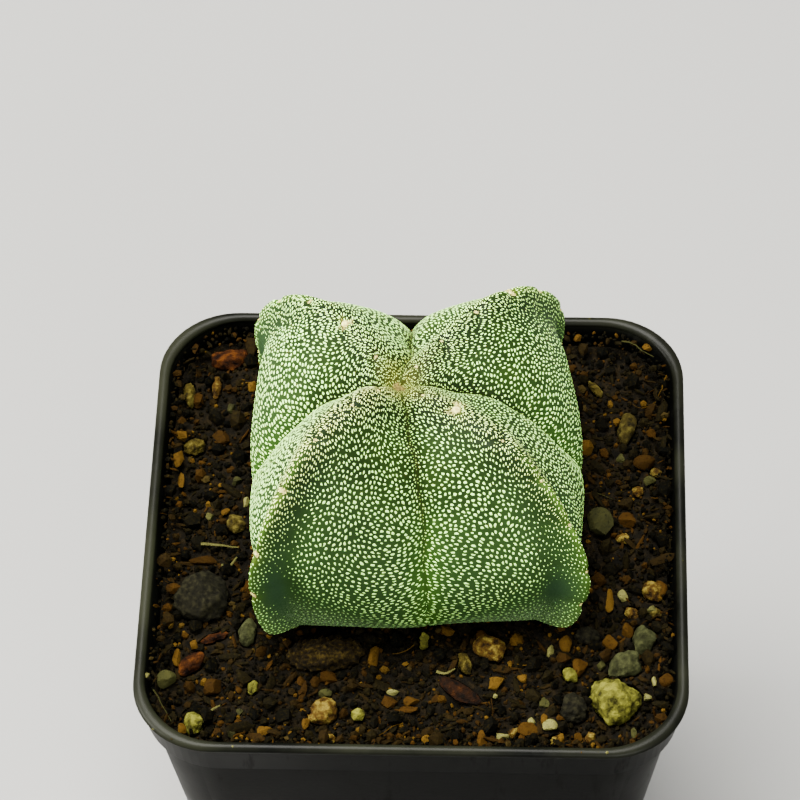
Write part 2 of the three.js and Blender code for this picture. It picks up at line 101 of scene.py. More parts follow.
# The grains that stand out: the tone of each kind, then kind, x, y, width and depth in millimetres
GRAIN_TONES = {
    "red": 0.79, "brown": 0.76, "rust": 0.835, "orange": 0.855, "amber": 0.88, "olive": 0.945,
    "grey": 0.93, "yellow": 0.97, "cream": 1,
}
SEEN_GRAINS = [
    ("yellow", 32.8, -11.4, 2.1, 2.7), ("amber", 26.9, -9.8, 1.6, 3.6), ("cream", 28.7, -9.3, 1.4, 2.3),
    ("rust", 26.9, -16.9, 2.4, 2.2), ("rust", 29.2, -15.4, 1.8, 2.5), ("rust", 22.9, -21.1, 2.3, 2.9),
    ("amber", 15.2, -22.9, 1.6, 1.6), ("amber", 11.5, -23.5, 2.8, 2.3), ("cream", 32.9, -24.0, 0.9, 1.8),
    ("cream", 32.0, -25.8, 1.1, 1.4), ("red", 34.4, -24.2, 1.8, 2.0), ("orange", 18.2, -30.0, 1.4, 2.0),
    ("amber", 2.3, -33.9, 1.3, 1.6), ("cream", 12.3, -32.4, 2.0, 1.4), ("rust", 9.8, -33.2, 1.6, 3.0),
    ("olive", 30.0, -31.9, 1.1, 2.2), ("olive", 25.7, -21.0, 1.4, 1.8), ("olive", 18.1, -27.1, 1.4, 2.0),
    ("orange", 21.0, -17.0, 1.8, 2.9), ("cream", 18.8, -18.1, 1.1, 2.0), ("cream", 15.3, -30.3, 1.0, 1.3),
    ("cream", 16.4, -30.0, 1.1, 1.3), ("cream", 18.8, -31.1, 2.0, 2.0), ("orange", -5.3, -19.8, 2.0, 3.2),
    ("orange", -19.5, -32.1, 2.1, 2.3), ("orange", -13.9, -30.9, 1.3, 2.0), ("rust", 15.6, -31.5, 3.2, 2.6),
    ("orange", -30.6, -33.4, 1.4, 1.8), ("grey", -24.0, -33.0, 1.1, 1.6), ("grey", -23.0, -29.1, 1.1, 1.4),
    ("amber", -28.2, -24.3, 1.3, 1.3), ("olive", -33.2, -24.7, 2.6, 2.7), ("cream", -35.8, -24.9, 1.0, 0.9),
    ("brown", -27.0, -25.0, 2.8, 2.9), ("cream", -2.4, -25.2, 1.7, 1.3), ("brown", -13.1, -24.1, 1.4, 2.0),
    ("olive", -11.5, -25.7, 2.0, 2.0), ("red", -14.8, -24.2, 1.4, 1.6), ("red", -23.4, -25.6, 1.0, 1.3),
    ("rust", 0.1, -26.6, 2.1, 2.0), ("orange", -32.2, -20.2, 1.1, 3.2), ("orange", -29.9, -18.6, 1.6, 1.6),
    ("amber", -24.4, 26.6, 1.3, 2.2), ("grey", -27.1, 22.9, 1.1, 2.9), ("orange", -33.8, 12.5, 1.7, 3.4),
    ("orange", -33.4, 9.2, 1.1, 3.4), ("brown", -28.2, 17.6, 3.0, 2.3), ("brown", -33.9, 19.2, 1.3, 1.4),
    ("brown", -26.6, 11.7, 1.3, 1.1), ("grey", -25.7, 9.6, 1.7, 1.4), ("orange", -26.8, 4.0, 1.3, 1.4),
    ("cream", -24.1, 6.1, 1.1, 1.8), ("amber", -29.2, 5.3, 1.0, 1.3), ("yellow", -28.9, 3.2, 1.3, 1.3),
    ("brown", -29.6, -4.1, 3.6, 2.2), ("red", -33.5, -2.1, 1.6, 0.7), ("orange", 32.4, 32.8, 1.4, 1.6),
    ("red", 31.1, 35.0, 2.0, 1.3), ("olive", 28.6, 14.7, 1.4, 1.6), ("brown", 31.9, 13.4, 3.0, 2.2),
    ("red", 32.9, 18.2, 1.7, 1.6), ("olive", 32.7, 10.0, 1.8, 1.6), ("red", 29.6, 4.0, 3.0, 2.9),
    ("grey", 25.5, 2.6, 4.0, 5.4), ("rust", 34.0, -8.0, 1.7, 2.9), ("amber", 20.2, -32.9, 1.6, 2.0),
    ("rust", 22.6, -32.4, 1.4, 1.8),
]

# Bits on the rim and the soil: x, y and height from the rim, and size, all in millimetres, and tone
BITS = [
    (11.4, -26.1, -3.4, 1.1, 1), (-34.2, -34.4, -0.1, 0.35, 1), (-31.6, -35.9, -0.1, 0.3, 0.9),
    (-23.4, -36.9, -0.1, 0.4, 1), (23, -36.9, -0.1, 0.45, 0.85), (25.2, -36.8, -0.1, 0.35, 0.95),
    (26.4, -36.9, -0.1, 0.5, 1), (36.9, -5.5, -0.1, 0.4, 0.95), (24.1, 36.9, -0.1, 0.8, 0.95),
]
FIBRES = 22
FIBRE_STEPS = 6
FIBRE_TONES = [0.7, 0.8, 0.86, 0.95]

# Pale twigs, by the x and y of their ends and bends, in millimetres
TWIGS = [
    [(-28.1, -30.9), (-27, -29.6), (-25.7, -28.6)],
    [(-26.9, -4.9), (-25.9, -5.4), (-24.5, -3.3)],
    [(-29.9, -2), (-27.3, -2.1), (-24.7, -1.9)],
    [(3.4, -21.9), (4.7, -22.6), (5.9, -21.9)],
]
TWIG_THICKNESS = 0.24
TWIG_TONE = 0.98

# The cactus: sections from the crown to the foot, in millimetres, heights from the pot's rim
PLANT_X = -1.5
PLANT_Y = 4.9
PLANT_LEAN = 1.5
PLANT_TALL = 30
CROWN_SHIFT = (-0.6, -0.8)
CROWN_SPREAD = 6
CROWN_REACH = 9
BODY_HALF = [0, 3, 7.5, 13.3, 18.2, 21.5, 21.4, 19.2, 14.4]
BODY_HEIGHT = [24.8, 26, 24.8, 22.8, 17.3, 9.7, 3.4, -2.8, -4.3]
SQUARE_TOP = 3.6
SQUARE_BASE = 6.7
SHOULDER_LIFT = [-0.4, 2.8, 3.5, -0.6]
SHOULDER_WIDTH = 0.35
RIDGE_REACH = [0.2, 2.7, 4.3, 4.3]
RIDGE_WIDTH = 1.5
RIDGE_NARROWING = 0.45
RIDGE_SKIRT = 3.8
HOLLOW_DEPTH = [0.9, 0.4, 0.4, 0.9]
HOLLOW_AWAY = 2.5
HOLLOW_WIDTH = 1.7
BACK_BEND = 0.2
FURROW_PINCH = [0.07, 0.2, 0.04, 0]
FURROW_DROP = [1.4, 3.3, 2.3, -0.9]
CREASE_DEPTH = 0.35
CREASE_WIDTH = 0.2
FURROW_SWAY = 0.3
SWAY_WIDTH = 3.5
TALL_RIB_SHAPE = [0, 1, 1, 0.6, 0]
FACE_AZIMUTH = [-80.5, 0.5, 88.5, 186]
FACE_FULLNESS = [1.06, 1.15, 1.05, 1]
RIB_TOP = [-35, 54, 138, 230]
RIB_BASE = [-43, 47, 138, 232]
RIB_REACH = [1.07, 1.06, 0.91, 1.02]
RIB_EXTRA = [-1.1, -2, 0.9, 2.5]
ROOT_SHARE = [1, 0.72, 0.45, 0.27, 0.16, 0]
ROOT_HEIGHT = [-4.6, -5.8, -7.4, -11, -16, -22]
FOOT_STATION = 0.95

# Each rib's areoles from crown to foot: where each lies, and the size of its wool in millimetres
AREOLES = [
    [(0.11, 0.2), (0.21, 1.05), (0.33, 0.2), (0.44, 0.2), (0.54, 0.2), (0.65, 0.2), (0.77, 0.25)],
    [(0.1, 0.2), (0.2, 0.2), (0.31, 0.3), (0.42, 0.65), (0.53, 0.35), (0.65, 0.35), (0.77, 0.35)],
    [(0.13, 0.25), (0.26, 0.95), (0.38, 0.35), (0.5, 0.35), (0.62, 0.35), (0.74, 0.35)],
    [(0.12, 0.2), (0.23, 0.25), (0.35, 0.25), (0.47, 0.5), (0.6, 0.4), (0.72, 0.45)],
]
AREOLE_DENT = 0.55
AREOLE_SPAN = 0.016
AREOLE_SEEN = 0.4

# How finely the skin is modelled
COLUMNS = 384
BODY_ROWS = 178
ROOT_ROWS = 12

# The white flecks: how many are tried, over which grid and stations, and their lengths in millimetres
FLECK_CANDIDATES = 280000
FLECK_ROWS = 240
FLECK_COLUMNS = 720
FLECK_STATIONS = (0.012, 0.985)
FLECK_SPACING = 0.58
FLECK_SIDES = 6
FLECK_RISE = 0.01
FLECK_SUNK = 0.04
FLECK_GAP = 0.05
FLECK_LEAST = 0.06
FLECK_TAPER = 0.8
CREST_WARMTH = [0.6, 0.25, 0.15, 0.85]

# The wool: how flat its pads are, and its hairs' thickness at the root and the knee in millimetres
PAD_FLATNESS = 0.55
HAIR_THICKNESS = (0.045, 0.032)
AREOLE_HAIRS = 190
CROWN_HAIRS = 90

# Where each piece's random numbers start
SEEDS = {
    "flecks": 7, "fleck_sides": 8, "fleck_chance": 9, "wool": 31, "grit_coarse": 41, "grit_middle": 42,
    "grit_fine": 43, "stray_crumbs": 44, "rootlets": 45, "grit_standing_out": 46,
}


# Small helpers

def random_numbers(name):
    return np.random.default_rng(SEEDS[name])


def deselect_all():
    for thing in bpy.context.selected_objects:
        thing.select_set(False)


def activate(piece):
    deselect_all()
    piece.select_set(True)
    bpy.context.view_layer.objects.active = piece


def apply_place(piece):
    activate(piece)
    bpy.ops.object.transform_apply(location=True, rotation=True, scale=True)


def get_points(mesh, kind="co"):
    points = np.empty(len(mesh.vertices) * 3)
    mesh.vertices.foreach_get(kind, points)
    return points.reshape(-1, 3)


def set_points(mesh, points):
    mesh.vertices.foreach_set("co", np.asarray(points, float).ravel())
    mesh.update()


def link_object(name, mesh):
    piece = bpy.data.objects.new(name, mesh)
    bpy.context.scene.collection.objects.link(piece)
    return piece


def finish_piece(piece, finish, slot_name, smooth_angle=None, **shares):
    """Gives a piece its finish and a number at each point for each share; the slot name is not used."""
    piece.data.materials.clear()
    piece.data.materials.append(finish)
    for name, values in shares.items():
        layer = piece.data.attributes.new(name, "FLOAT", "POINT")
        layer.data.foreach_set("value", np.asarray(values, float))
    if smooth_angle is not None:
        activate(piece)
        bpy.ops.object.shade_smooth_by_angle(angle=math.radians(smooth_angle))
    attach(piece, "root")


def add_piece(name, points, faces, *looks, **shares):
    mesh = bpy.data.meshes.new(name)
    mesh.from_pydata(np.asarray(points).tolist(), [], faces)
    mesh.update()
    finish_piece(link_object(name, mesh), *looks, **shares)


def smooth_step(value, low, high):
    t = np.clip((np.asarray(value, float) - low) / (high - low), 0, 1)
    return t * t * (3 - 2 * t)


def hill(distance, width):
    return np.exp(-((distance / width) ** 2))


def wander(points, scale, seed):
    """Perlin noise from -1 to 1 at each point, for lumps of that size in millimetres."""
    shift = Vector((seed * 7.3, seed * 3.1, seed * 5.7))
    return np.array([noise.noise(Vector(p) / (scale * MM) + shift) for p in points])


# Shader maths: a socket that Python's operators act on, and one method for every node

class Value:
    def __init__(self, finish, socket):
        self.finish = finish
        self.socket = socket

    def math(self, operation, first, second):
        return self.finish.node("ShaderNodeMath", {"operation": operation}, {0: first, 1: second})

    def __add__(self, other):
        return self.math("ADD", self, other)

    __radd__ = __add__

    def __mul__(self, other):
        return self.math("MULTIPLY", self, other)

    __rmul__ = __mul__


class Finish:
    def __init__(self, name, **constants):
        self.material = bpy.data.materials.new(name)
        self.material.use_nodes = True
        self.tree = self.material.node_tree
        self.shader = self.tree.nodes["Principled BSDF"]
        for socket, value in constants.items():
            self.shader.inputs[socket.replace("_", " ")].default_value = value

    def node(self, kind, settings, inputs, output=0):
        made = self.tree.nodes.new(kind)
        for name, value in settings.items():
            setattr(made, name, value)
        for name, value in inputs.items():
            if isinstance(value, Value):
                self.tree.links.new(value.socket, made.inputs[name])
            else:
                made.inputs[name].default_value = value
        return Value(self, made.outputs[output])

    def place(self):
        return self.node("ShaderNodeTexCoord", {}, {}, "Object")

    def noise(self, scale, detail=3, rough=0.5, stretch=(1, 1, 1)):
        vector = self.node("ShaderNodeMapping", {}, {"Vector": self.place(), "Scale": stretch})
        inputs = {"Vector": vector, "Scale": scale, "Detail": detail, "Roughness": rough}
        return self.node("ShaderNodeTexNoise", {}, inputs)

    def share(self, name):
        return self.node("ShaderNodeAttribute", {"attribute_name": name}, {}, "Fac")

    def ramp(self, value, low, high):
        inputs = {"Value": value, "From Min": low, "From Max": high}
        return self.node("ShaderNodeMapRange", {"interpolation_type": "SMOOTHSTEP"}, inputs)

    def mix(self, factor, first, second):
        first = first if isinstance(first, Value) else (*first, 1)
        second = second if isinstance(second, Value) else (*second, 1)
        return self.node("ShaderNodeMix", {"data_type": "RGBA"}, {0: factor, 6: first, 7: second}, 2)

    def stops(self, value, colours):
        """Runs through (place, colour) stops in order."""
        colour = colours[0][1]
        for (start, _), (end, following) in zip(colours, colours[1:]):
            colour = self.mix(self.ramp(value, start, end), colour, following)
        return colour

    def set(self, name, value):
        self.tree.links.new(value.socket, self.shader.inputs[name])

    def complete(self, colour, roughness, height, strength, distance):
        """Sets what varies over the surface and gives the material."""
        inputs = {"Strength": strength, "Distance": distance, "Height": height}
        self.set("Base Color", colour)
        self.set("Roughness", roughness)
        self.set("Normal", self.node("ShaderNodeBump", {}, inputs))
        return self.material


# Finishes

# The skin's shades, each laid over those before it: its share, its strength and its colour
SKIN_SHADES = [
    # The first shade below is painted shade, darkening the upper ribs, the crown, the upper furrows and the
    # lower hollows
    ("painted_shade", 0.85, (0.0022, 0.0058, 0.0009)), ("lower_face", 0.9, (0.0155, 0.038, 0.0085)),
    # The first shade below is painted light: a brighter green near the lower furrows
    ("painted_lower_furrow_light", 0.7, (0.018, 0.054, 0.003)), ("foot_rib", 0.8, (0.03, 0.065, 0.0065)),
    ("bald", 0.85, (0.0135, 0.0305, 0.0135)), ("spot", 0.6, (0.035, 0.053, 0.0035)),
    ("crown", 0.7, (0.028, 0.03, 0.0025)), ("crease", 0.85, (0.013, 0.021, 0.0016)),
]


def skin_finish():
    skin = Finish("cactus_skin", Specular_IOR_Level=0.03, Subsurface_Weight=0.05, Subsurface_Scale=0.002,
                  Subsurface_Radius=(0.6, 1.0, 0.3))
    blotch = skin.noise(160, 4)
    fine = skin.noise(1900, 3)
    green = skin.mix(skin.ramp(blotch, 0.35, 0.68), (0.0045, 0.0115, 0.0016), (0.009, 0.0215, 0.0028))
    for share, strength, shade in SKIN_SHADES:
        green = skin.mix(skin.share(share) * strength, green, shade)
    powder = skin.ramp(skin.noise(5200, 2, 0.7), 0.48, 0.62) * skin.share("powder")
    green = skin.mix(powder * 0.7, green, (0.22, 0.33, 0.15))
    roughness = skin.ramp(fine, 0.3, 0.7) * 0.18 + 0.45
    return skin.complete(green, roughness, fine + skin.noise(5200, 2) * 0.6, 0.35, 0.00008)


def fleck_finish():
    fleck = Finish("cactus_flecks", Specular_IOR_Level=0.08, Subsurface_Weight=0.1,
                   Subsurface_Scale=0.001)
    patch = fleck.noise(900, 2)
    cream = fleck.mix(fleck.share("warm"), (0.54, 1, 0.22), (0.85, 0.95, 0.24))
    cream = fleck.mix(fleck.share("aged"), cream, (0.4, 0.46, 0.055))
    shaded = fleck.mix(fleck.ramp(patch, 0.4, 0.75) * 0.15, cream, (0.35, 0.65, 0.14))
    shaded = fleck.mix(fleck.share("faint") * 0.85, shaded, (0.09, 0.17, 0.055))
    roughness = fleck.ramp(patch, 0.3, 0.7) * 0.15 + 0.8
    return fleck.complete(shaded, roughness, fleck.noise(9000, 3), 0.6, 0.00005)


def wool_finish(name, light, dark):
    wool = Finish(name, Specular_IOR_Level=0.1, Sheen_Weight=0.1)
    tuft = wool.noise(2400, 3)
    colour = wool.mix(wool.ramp(tuft, 0.35, 0.68), dark, light)
    roughness = wool.ramp(tuft, 0.3, 0.7) * 0.1 + 0.88
    return wool.complete(colour, roughness, wool.noise(7000, 2), 0.5, 0.00006)


def plastic_finish():
    """Black moulded plastic with a dull sheen along the rim: painted sheen in a paler colour on the rim's
    top, and a thin coat there.
    """
    plastic = Finish("pot_plastic", Specular_IOR_Level=0.02, Coat_Roughness=0.35)
    cloud = plastic.noise(45, 5)
    dust = plastic.ramp(plastic.noise(2600, 2, 0.7), 0.66, 0.74)
    wall_sheen_streaks = plastic.ramp(plastic.noise(420, 4, 0.65, (1, 1, 0.12)), 0.56, 0.72)
    height = plastic.node("ShaderNodeSeparateXYZ", {}, {0: plastic.place()}, 2)
    rim_sheen = plastic.ramp(height, RIM - 1.6 * MM, RIM - 0.3 * MM)
    clouded = plastic.ramp(cloud, 0.35, 0.7)
    black = plastic.mix(clouded, (0.0005, 0.00055, 0.0005), (0.0012, 0.0013, 0.0011))
    # Painted sheen: paler vertical streaks down the wall, which also change the roughness and the coat
    black = plastic.mix(wall_sheen_streaks * 0.25, black, (0.005, 0.005, 0.004))
    # Painted sheen: the top of the rim is made paler where light catches it
    black = plastic.mix(rim_sheen * plastic.ramp(cloud, 0.3, 0.65), black, (0.0075, 0.008, 0.0045))
    black = plastic.mix(dust * plastic.ramp(cloud, 0.5, 0.7) * 0.5, black, (0.03, 0.025, 0.015))
    plastic.set("Coat Weight", rim_sheen * 0.045 + wall_sheen_streaks * 0.005)
    roughness = plastic.ramp(cloud, 0.3, 0.75) * 0.14 + wall_sheen_streaks * 0.15 + 0.34
    waves = plastic.noise(1500, 3) + plastic.noise(60, 2) * 3
    return plastic.complete(black, roughness, waves, 0.12, 0.0001)


def stone_finish(name, dark, middle, light, scale, pits=0.5):
    """Mottled and pitted, with the stone's own streaks and its own shade where it has them."""
    stone = Finish(name, Specular_IOR_Level=0.03)
    tone = stone.noise(scale, 4, 0.6) + stone.share("streak") * 0.16
    speck = stone.noise(scale * 6, 3, 0.6)
    colour = stone.stops(tone, [(0.32, dark), (0.48, middle), (0.66, light)])
    colour = stone.mix(stone.ramp(speck, 0.55, 0.72) * 0.4, colour, light)
    colour = stone.mix(stone.ramp(speck, 0.46, 0.3) * pits, colour, dark)
    colour = stone.mix(stone.share("shade"), colour, (0.001, 0.001, 0.0007))
    roughness = stone.ramp(tone, 0.3, 0.7) * 0.12 + 0.82
    return stone.complete(colour, roughness, speck + tone, 0.9, 0.00025)


def grit_finish(name):
    """Soil and grains, whose tone runs from black through brown, rust and grey to cream."""
    grit = Finish(name, Specular_IOR_Level=0.015)
    speck = grit.noise(2600, 4, 0.65)
    colour = grit.stops(grit.share("tone"), [
        (0, (0.0004, 0.0004, 0.0002)), (0.3, (0.0013, 0.0011, 0.0005)),
        (0.48, (0.0032, 0.0024, 0.0007)), (0.62, (0.0056, 0.0033, 0.0008)),
        (0.74, (0.0095, 0.0045, 0.0008)), (0.82, (0.0165, 0.0073, 0.001)),
        (0.88, (0.039, 0.0205, 0.0024)), (0.91, (0.0058, 0.006, 0.0025)),
        (0.95, (0.0155, 0.0155, 0.0045)), (1, (0.07, 0.066, 0.019)),
    ])
    colour = grit.mix(grit.ramp(speck, 0.5, 0.75) * 0.35, colour, (0.014, 0.01, 0.002))
    colour = grit.mix(grit.ramp(speck, 0.48, 0.3) * 0.65, colour, (0.0004, 0.0004, 0.0002))
    return grit.complete(colour, grit.ramp(speck, 0.3, 0.7) * 0.15 + 0.8, speck, 0.8, 0.00015)


# The dark, middle and light colour of each slot's stones, and the scale of their mottling
STONE_COLOURS = {
    "stone_pale": ((0.008, 0.0075, 0.001), (0.036, 0.035, 0.0045), (0.08, 0.077, 0.01), 700),
    "stone_grey": ((0.0052, 0.0056, 0.002), (0.0115, 0.0125, 0.0044), (0.0225, 0.024, 0.0085), 1100),
    "stone_dark": ((0.0011, 0.001, 0.0005), (0.0032, 0.0029, 0.0014), (0.008, 0.0073, 0.0034), 1500),
    "stone_orange": ((0.005, 0.0023, 0.0006), (0.025, 0.0125, 0.0018), (0.078, 0.056, 0.009), 900),
    "stone_yellow": ((0.005, 0.0037, 0.0008), (0.02, 0.0145, 0.002), (0.052, 0.041, 0.0075), 900),
    "bark_orange": ((0.0016, 0.0005, 0.0002), (0.0105, 0.003, 0.0005), (0.033, 0.01, 0.0015), 900),
    "bark_brown": ((0.0012, 0.0009, 0.0004), (0.0055, 0.0036, 0.001), (0.025, 0.0165, 0.003), 2200),
}

# How crumbly single stones are, in millimetres, and how much darker than the rest
CRUMBLE = {
    "bark_brown_large": 0.6, "stone_dark_large": 0.18, "stone_dark_front": 0.25,
    "stone_pale_pumice": 0.25, "stone_orange_cream": 0.2,
}
STONE_SHADE = {
    "bark_red": 0.55, "stone_yellow_right": 0.4, "stone_cream_left": 0.2, "stone_amber_far": 0.4,
}
LEAST_CRUMBLE = 0.1
STREAK_DEPTH = 0.16 * MM
STONE_LUMPS = 0.055


# The pot: a rounded square drawn out through the profile of its wall, then drilled

def pot_profile():
    """Half sides and heights, from the underside round the wall to the floor inside."""
    collar = RIM_HALF - BEAD
    shoulder = collar - COLLAR_STEP - 0.5 * MM
    profile = [
        (BASE_HALF - FOOT_WIDTH - 0.4 * MM, FOOT_HEIGHT),
        (BASE_HALF - FOOT_WIDTH, 0),
        (BASE_HALF - 0.4 * MM, 0),
        (BASE_HALF, 0.5 * MM),
        (shoulder, RIM - COLLAR_HEIGHT),
        (shoulder + 0.6 * COLLAR_STEP, RIM - COLLAR_HEIGHT + 0.15 * MM),
        (shoulder + COLLAR_STEP, RIM - COLLAR_HEIGHT + 0.6 * MM),
        (collar, RIM - 3 * BEAD),
    ]
    for step in range(11):
        angle = math.radians(-30 + 24 * step)
        across = BEAD_HALF_WIDTH * (math.cos(angle) - 1)
        profile.append((RIM_HALF + across, RIM - BEAD + BEAD * math.sin(angle)))
    profile += [
        (collar - WALL, RIM - 3 * BEAD),
        (shoulder + COLLAR_STEP - WALL, RIM - COLLAR_HEIGHT + 0.6 * MM),
        (shoulder - WALL, RIM - COLLAR_HEIGHT - 0.4 * MM),
        (BASE_HALF - WALL, FOOT_HEIGHT + WALL),
    ]
    return profile


def drill_drains(pot):
    deselect_all()
    drills = []
    for x, y in ((0, 0), (-1, -1), (-1, 1), (1, -1), (1, 1)):
        bpy.ops.mesh.primitive_cylinder_add(vertices=DRAIN_SIDES, radius=DRAIN_RADIUS, depth=20 * MM,
                                            location=(x * DRAIN_SPACING, y * DRAIN_SPACING, 0))
        drills.append(bpy.context.object)
    for drill in drills:
        drill.select_set(True)
    bpy.ops.object.join()
    drill = bpy.context.object
    activate(pot)
    cut = pot.modifiers.new("drains", "BOOLEAN")
    cut.operation = "DIFFERENCE"
    cut.object = drill
    bpy.ops.object.modifier_apply(modifier="drains")
    bpy.data.objects.remove(drill, do_unlink=True)


def make_pot(finish):
    profile = pot_profile()
    half, height = profile[0]
    deselect_all()
    bpy.ops.mesh.primitive_plane_add(size=2 * half, location=(0, 0, height))
    pot = bpy.context.object
    pot.name = "nursery_pot"
    apply_place(pot)
    bpy.ops.object.mode_set(mode="EDIT")
    bpy.ops.mesh.select_all(action="SELECT")
    bpy.ops.mesh.bevel(offset=RIM_CORNER * half / RIM_HALF, segments=CORNER_STEPS, affect="VERTICES")
    for (half, height), (last_half, last_height) in zip(profile[1:], profile):
        bpy.ops.mesh.extrude_region_move(TRANSFORM_OT_translate={"value": (0, 0, height - last_height)})
        share = half / last_half
        bpy.ops.transform.resize(value=(share, share, 1), center_override=(0, 0, 0))
    bpy.ops.mesh.select_all(action="SELECT")
    bpy.ops.mesh.normals_make_consistent(inside=False)
    bpy.ops.object.mode_set(mode="OBJECT")
    drill_drains(pot)
    finish_piece(pot, finish, "pot_plastic", smooth_angle=35)
    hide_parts("pot")


# The shape of the cactus: points of its skin for stations (0 crown, 1 foot) and angles round the
# section, where 0, 90, 180 and 270 are the furrows of the faces and 45, 135, 225 and 315 the ribs

def smooth(values, share):
    values = np.asarray(values, float)
    last = len(values) - 1
    x = np.clip(share, 0, 1) * last
    i = np.minimum(x.astype(int), last - 1)
    t = x - i
    before = values[np.maximum(i - 1, 0)]
    here = values[i]
    following = values[i + 1]
    after = values[np.minimum(i + 2, last)]
    linear = (following - before) * t
    square = (2 * before - 5 * here + 4 * following - after) * t ** 2
    cube = (3 * here - before - 3 * following + after) * t ** 3
    return 0.5 * (2 * here + linear + square + cube)


def blend(first, second, share):
    return first + (second - first) * share


class Section:
    """Where points of the skin lie: their face and rib, and how far from both in millimetres."""
    def __init__(self, station, angle):
        self.station = station
        self.face = (np.floor((angle + 45) / 90).astype(int)) % 4
        self.offset = (angle - 90 * self.face + 180) % 360 - 180
        self.rib = np.where(self.offset >= 0, self.face, (self.face + 3) % 4)
        self.half = smooth(BODY_HALF, station)
        power = blend(SQUARE_TOP, SQUARE_BASE, station)
        turn = np.radians(np.abs(self.offset))
        self.radius = self.half / (np.cos(turn) ** power + np.sin(turn) ** power) ** (1 / power)
        self.rib_turn = np.pi / 4 - turn
        self.from_rib = self.rib_turn * self.radius
        self.from_furrow = turn * self.radius
        self.near_crown = hill(self.half, CROWN_REACH)
        self.upper = 1 - smooth_step(station, 0.45, 0.7)


def areole_share(station, rib, shift=0, span=AREOLE_SPAN, least=0):
    share = np.zeros(np.shape(station))
    for number, areoles in enumerate(AREOLES):
        here = sum(hill(station - place - shift, span) for place, size in areoles if size >= least)
        share = np.where(rib == number, here, share)
    return share


def skin(station, angle):
    station, angle = np.broadcast_arrays(np.asarray(station, float), np.asarray(angle, float))
    here = Section(station, angle)
    share = np.abs(here.offset) / 45
    rib_azimuth = blend(np.array(RIB_TOP)[here.rib], np.array(RIB_BASE)[here.rib], station)
    rib_azimuth = np.where((here.offset < 0) & (here.face == 0), rib_azimuth - 360, rib_azimuth)
    azimuth = np.radians(blend(np.array(FACE_AZIMUTH)[here.face], rib_azimuth, share))
    sway = np.sin(17 * station + 2 * here.face) + 0.6 * np.sin(41 * station + here.face)
    azimuth = azimuth + FURROW_SWAY * sway * hill(here.from_furrow, SWAY_WIDTH) / (here.half + 4)
    azimuth = azimuth - BACK_BEND * (1 - share ** 2) ** 2 * hill(station - 0.2, 0.1) * (here.face == 2)
    lower = smooth_step(station, 0.4, 0.65)
    ridge = hill(here.from_rib, RIDGE_WIDTH - RIDGE_NARROWING * lower)
    ridge = blend(ridge, hill(here.from_rib, RIDGE_SKIRT), 0.3 * lower)
    hollow = np.array(HOLLOW_DEPTH)[here.rib] * lower * hill(here.from_rib - HOLLOW_AWAY, HOLLOW_WIDTH)
    hollow = hollow * (1 - smooth_step(station, 0.75, 0.92))
    furrow = np.exp(-np.sqrt(here.from_furrow ** 2 + 0.1) / (1.2 + 0.12 * here.half))
    crease = np.exp(-here.from_furrow / CREASE_WIDTH) * smooth_step(here.half, 0, 5)
    shoulder = hill(here.rib_turn, SHOULDER_WIDTH)
    rib_share = 0.5 - 0.5 * np.cos(np.pi * share)
    scale = blend(np.array(FACE_FULLNESS)[here.face], np.array(RIB_REACH)[here.rib], rib_share)
    dent = AREOLE_DENT * areole_share(station, here.rib) * ridge
    radius = here.radius * (1 - smooth(FURROW_PINCH, station) * furrow) * scale - CREASE_DEPTH * crease
    radius = radius + smooth(RIDGE_REACH, station) * ridge - hollow
    radius = radius - dent * smooth_step(station, 0.2, 0.5)
    lift = smooth(SHOULDER_LIFT, station) * shoulder - smooth(FURROW_DROP, station) * furrow
    lift = lift - (dent + CREASE_DEPTH * crease) * (1 - smooth_step(station, 0.35, 0.6))
    taller = np.array(RIB_EXTRA)[here.rib] * rib_share * smooth(TALL_RIB_SHAPE, station)
    z = smooth(BODY_HEIGHT, station) + lift + taller
    lean = PLANT_LEAN * (z + SOIL_DEPTH / MM) / PLANT_TALL
    near_crown = hill(here.half, CROWN_SPREAD)
    x = PLANT_X + CROWN_SHIFT[0] * near_crown + radius * np.cos(azimuth)
    y = PLANT_Y + CROWN_SHIFT[1] * near_crown + lean + radius * np.sin(azimuth)
    return np.stack([x * MM, y * MM, RIM + z * MM], -1)


def unit(vectors):
    return vectors / (np.linalg.norm(vectors, axis=-1, keepdims=True) + 1e-12)


def skin_frame(station, angle):
    """Points with their outward normals and the directions round the plant and down it."""
    near, low, high = 0.3, np.maximum(station - 0.002, 0), np.minimum(station + 0.002, 1)
    points = skin(station, angle)
    round_way = unit(skin(station, angle + near) - skin(station, angle - near))
    down = skin(high, angle) - skin(low, angle)
    normal = unit(np.cross(down, round_way))
    return points, normal, round_way, np.cross(round_way, normal)


def bald_share(section):
    """Bare dark patches just inside the foot of each rib, taller on the left of a face."""
    left = section.offset < 0
    beside = hill(section.from_rib - np.where(left, 1.3, 1.8), np.where(left, 0.8, 1.3))
    return beside * hill(section.station - np.where(left, 0.73, 0.735), np.where(left, 0.11, 0.06))


def hollow_share(section):
    """The hollow of each face beside the lower part of its ribs, darkened with painted shade."""
    return hill(section.from_rib - HOLLOW_AWAY, HOLLOW_WIDTH) * hill(section.station - 0.55, 0.16)


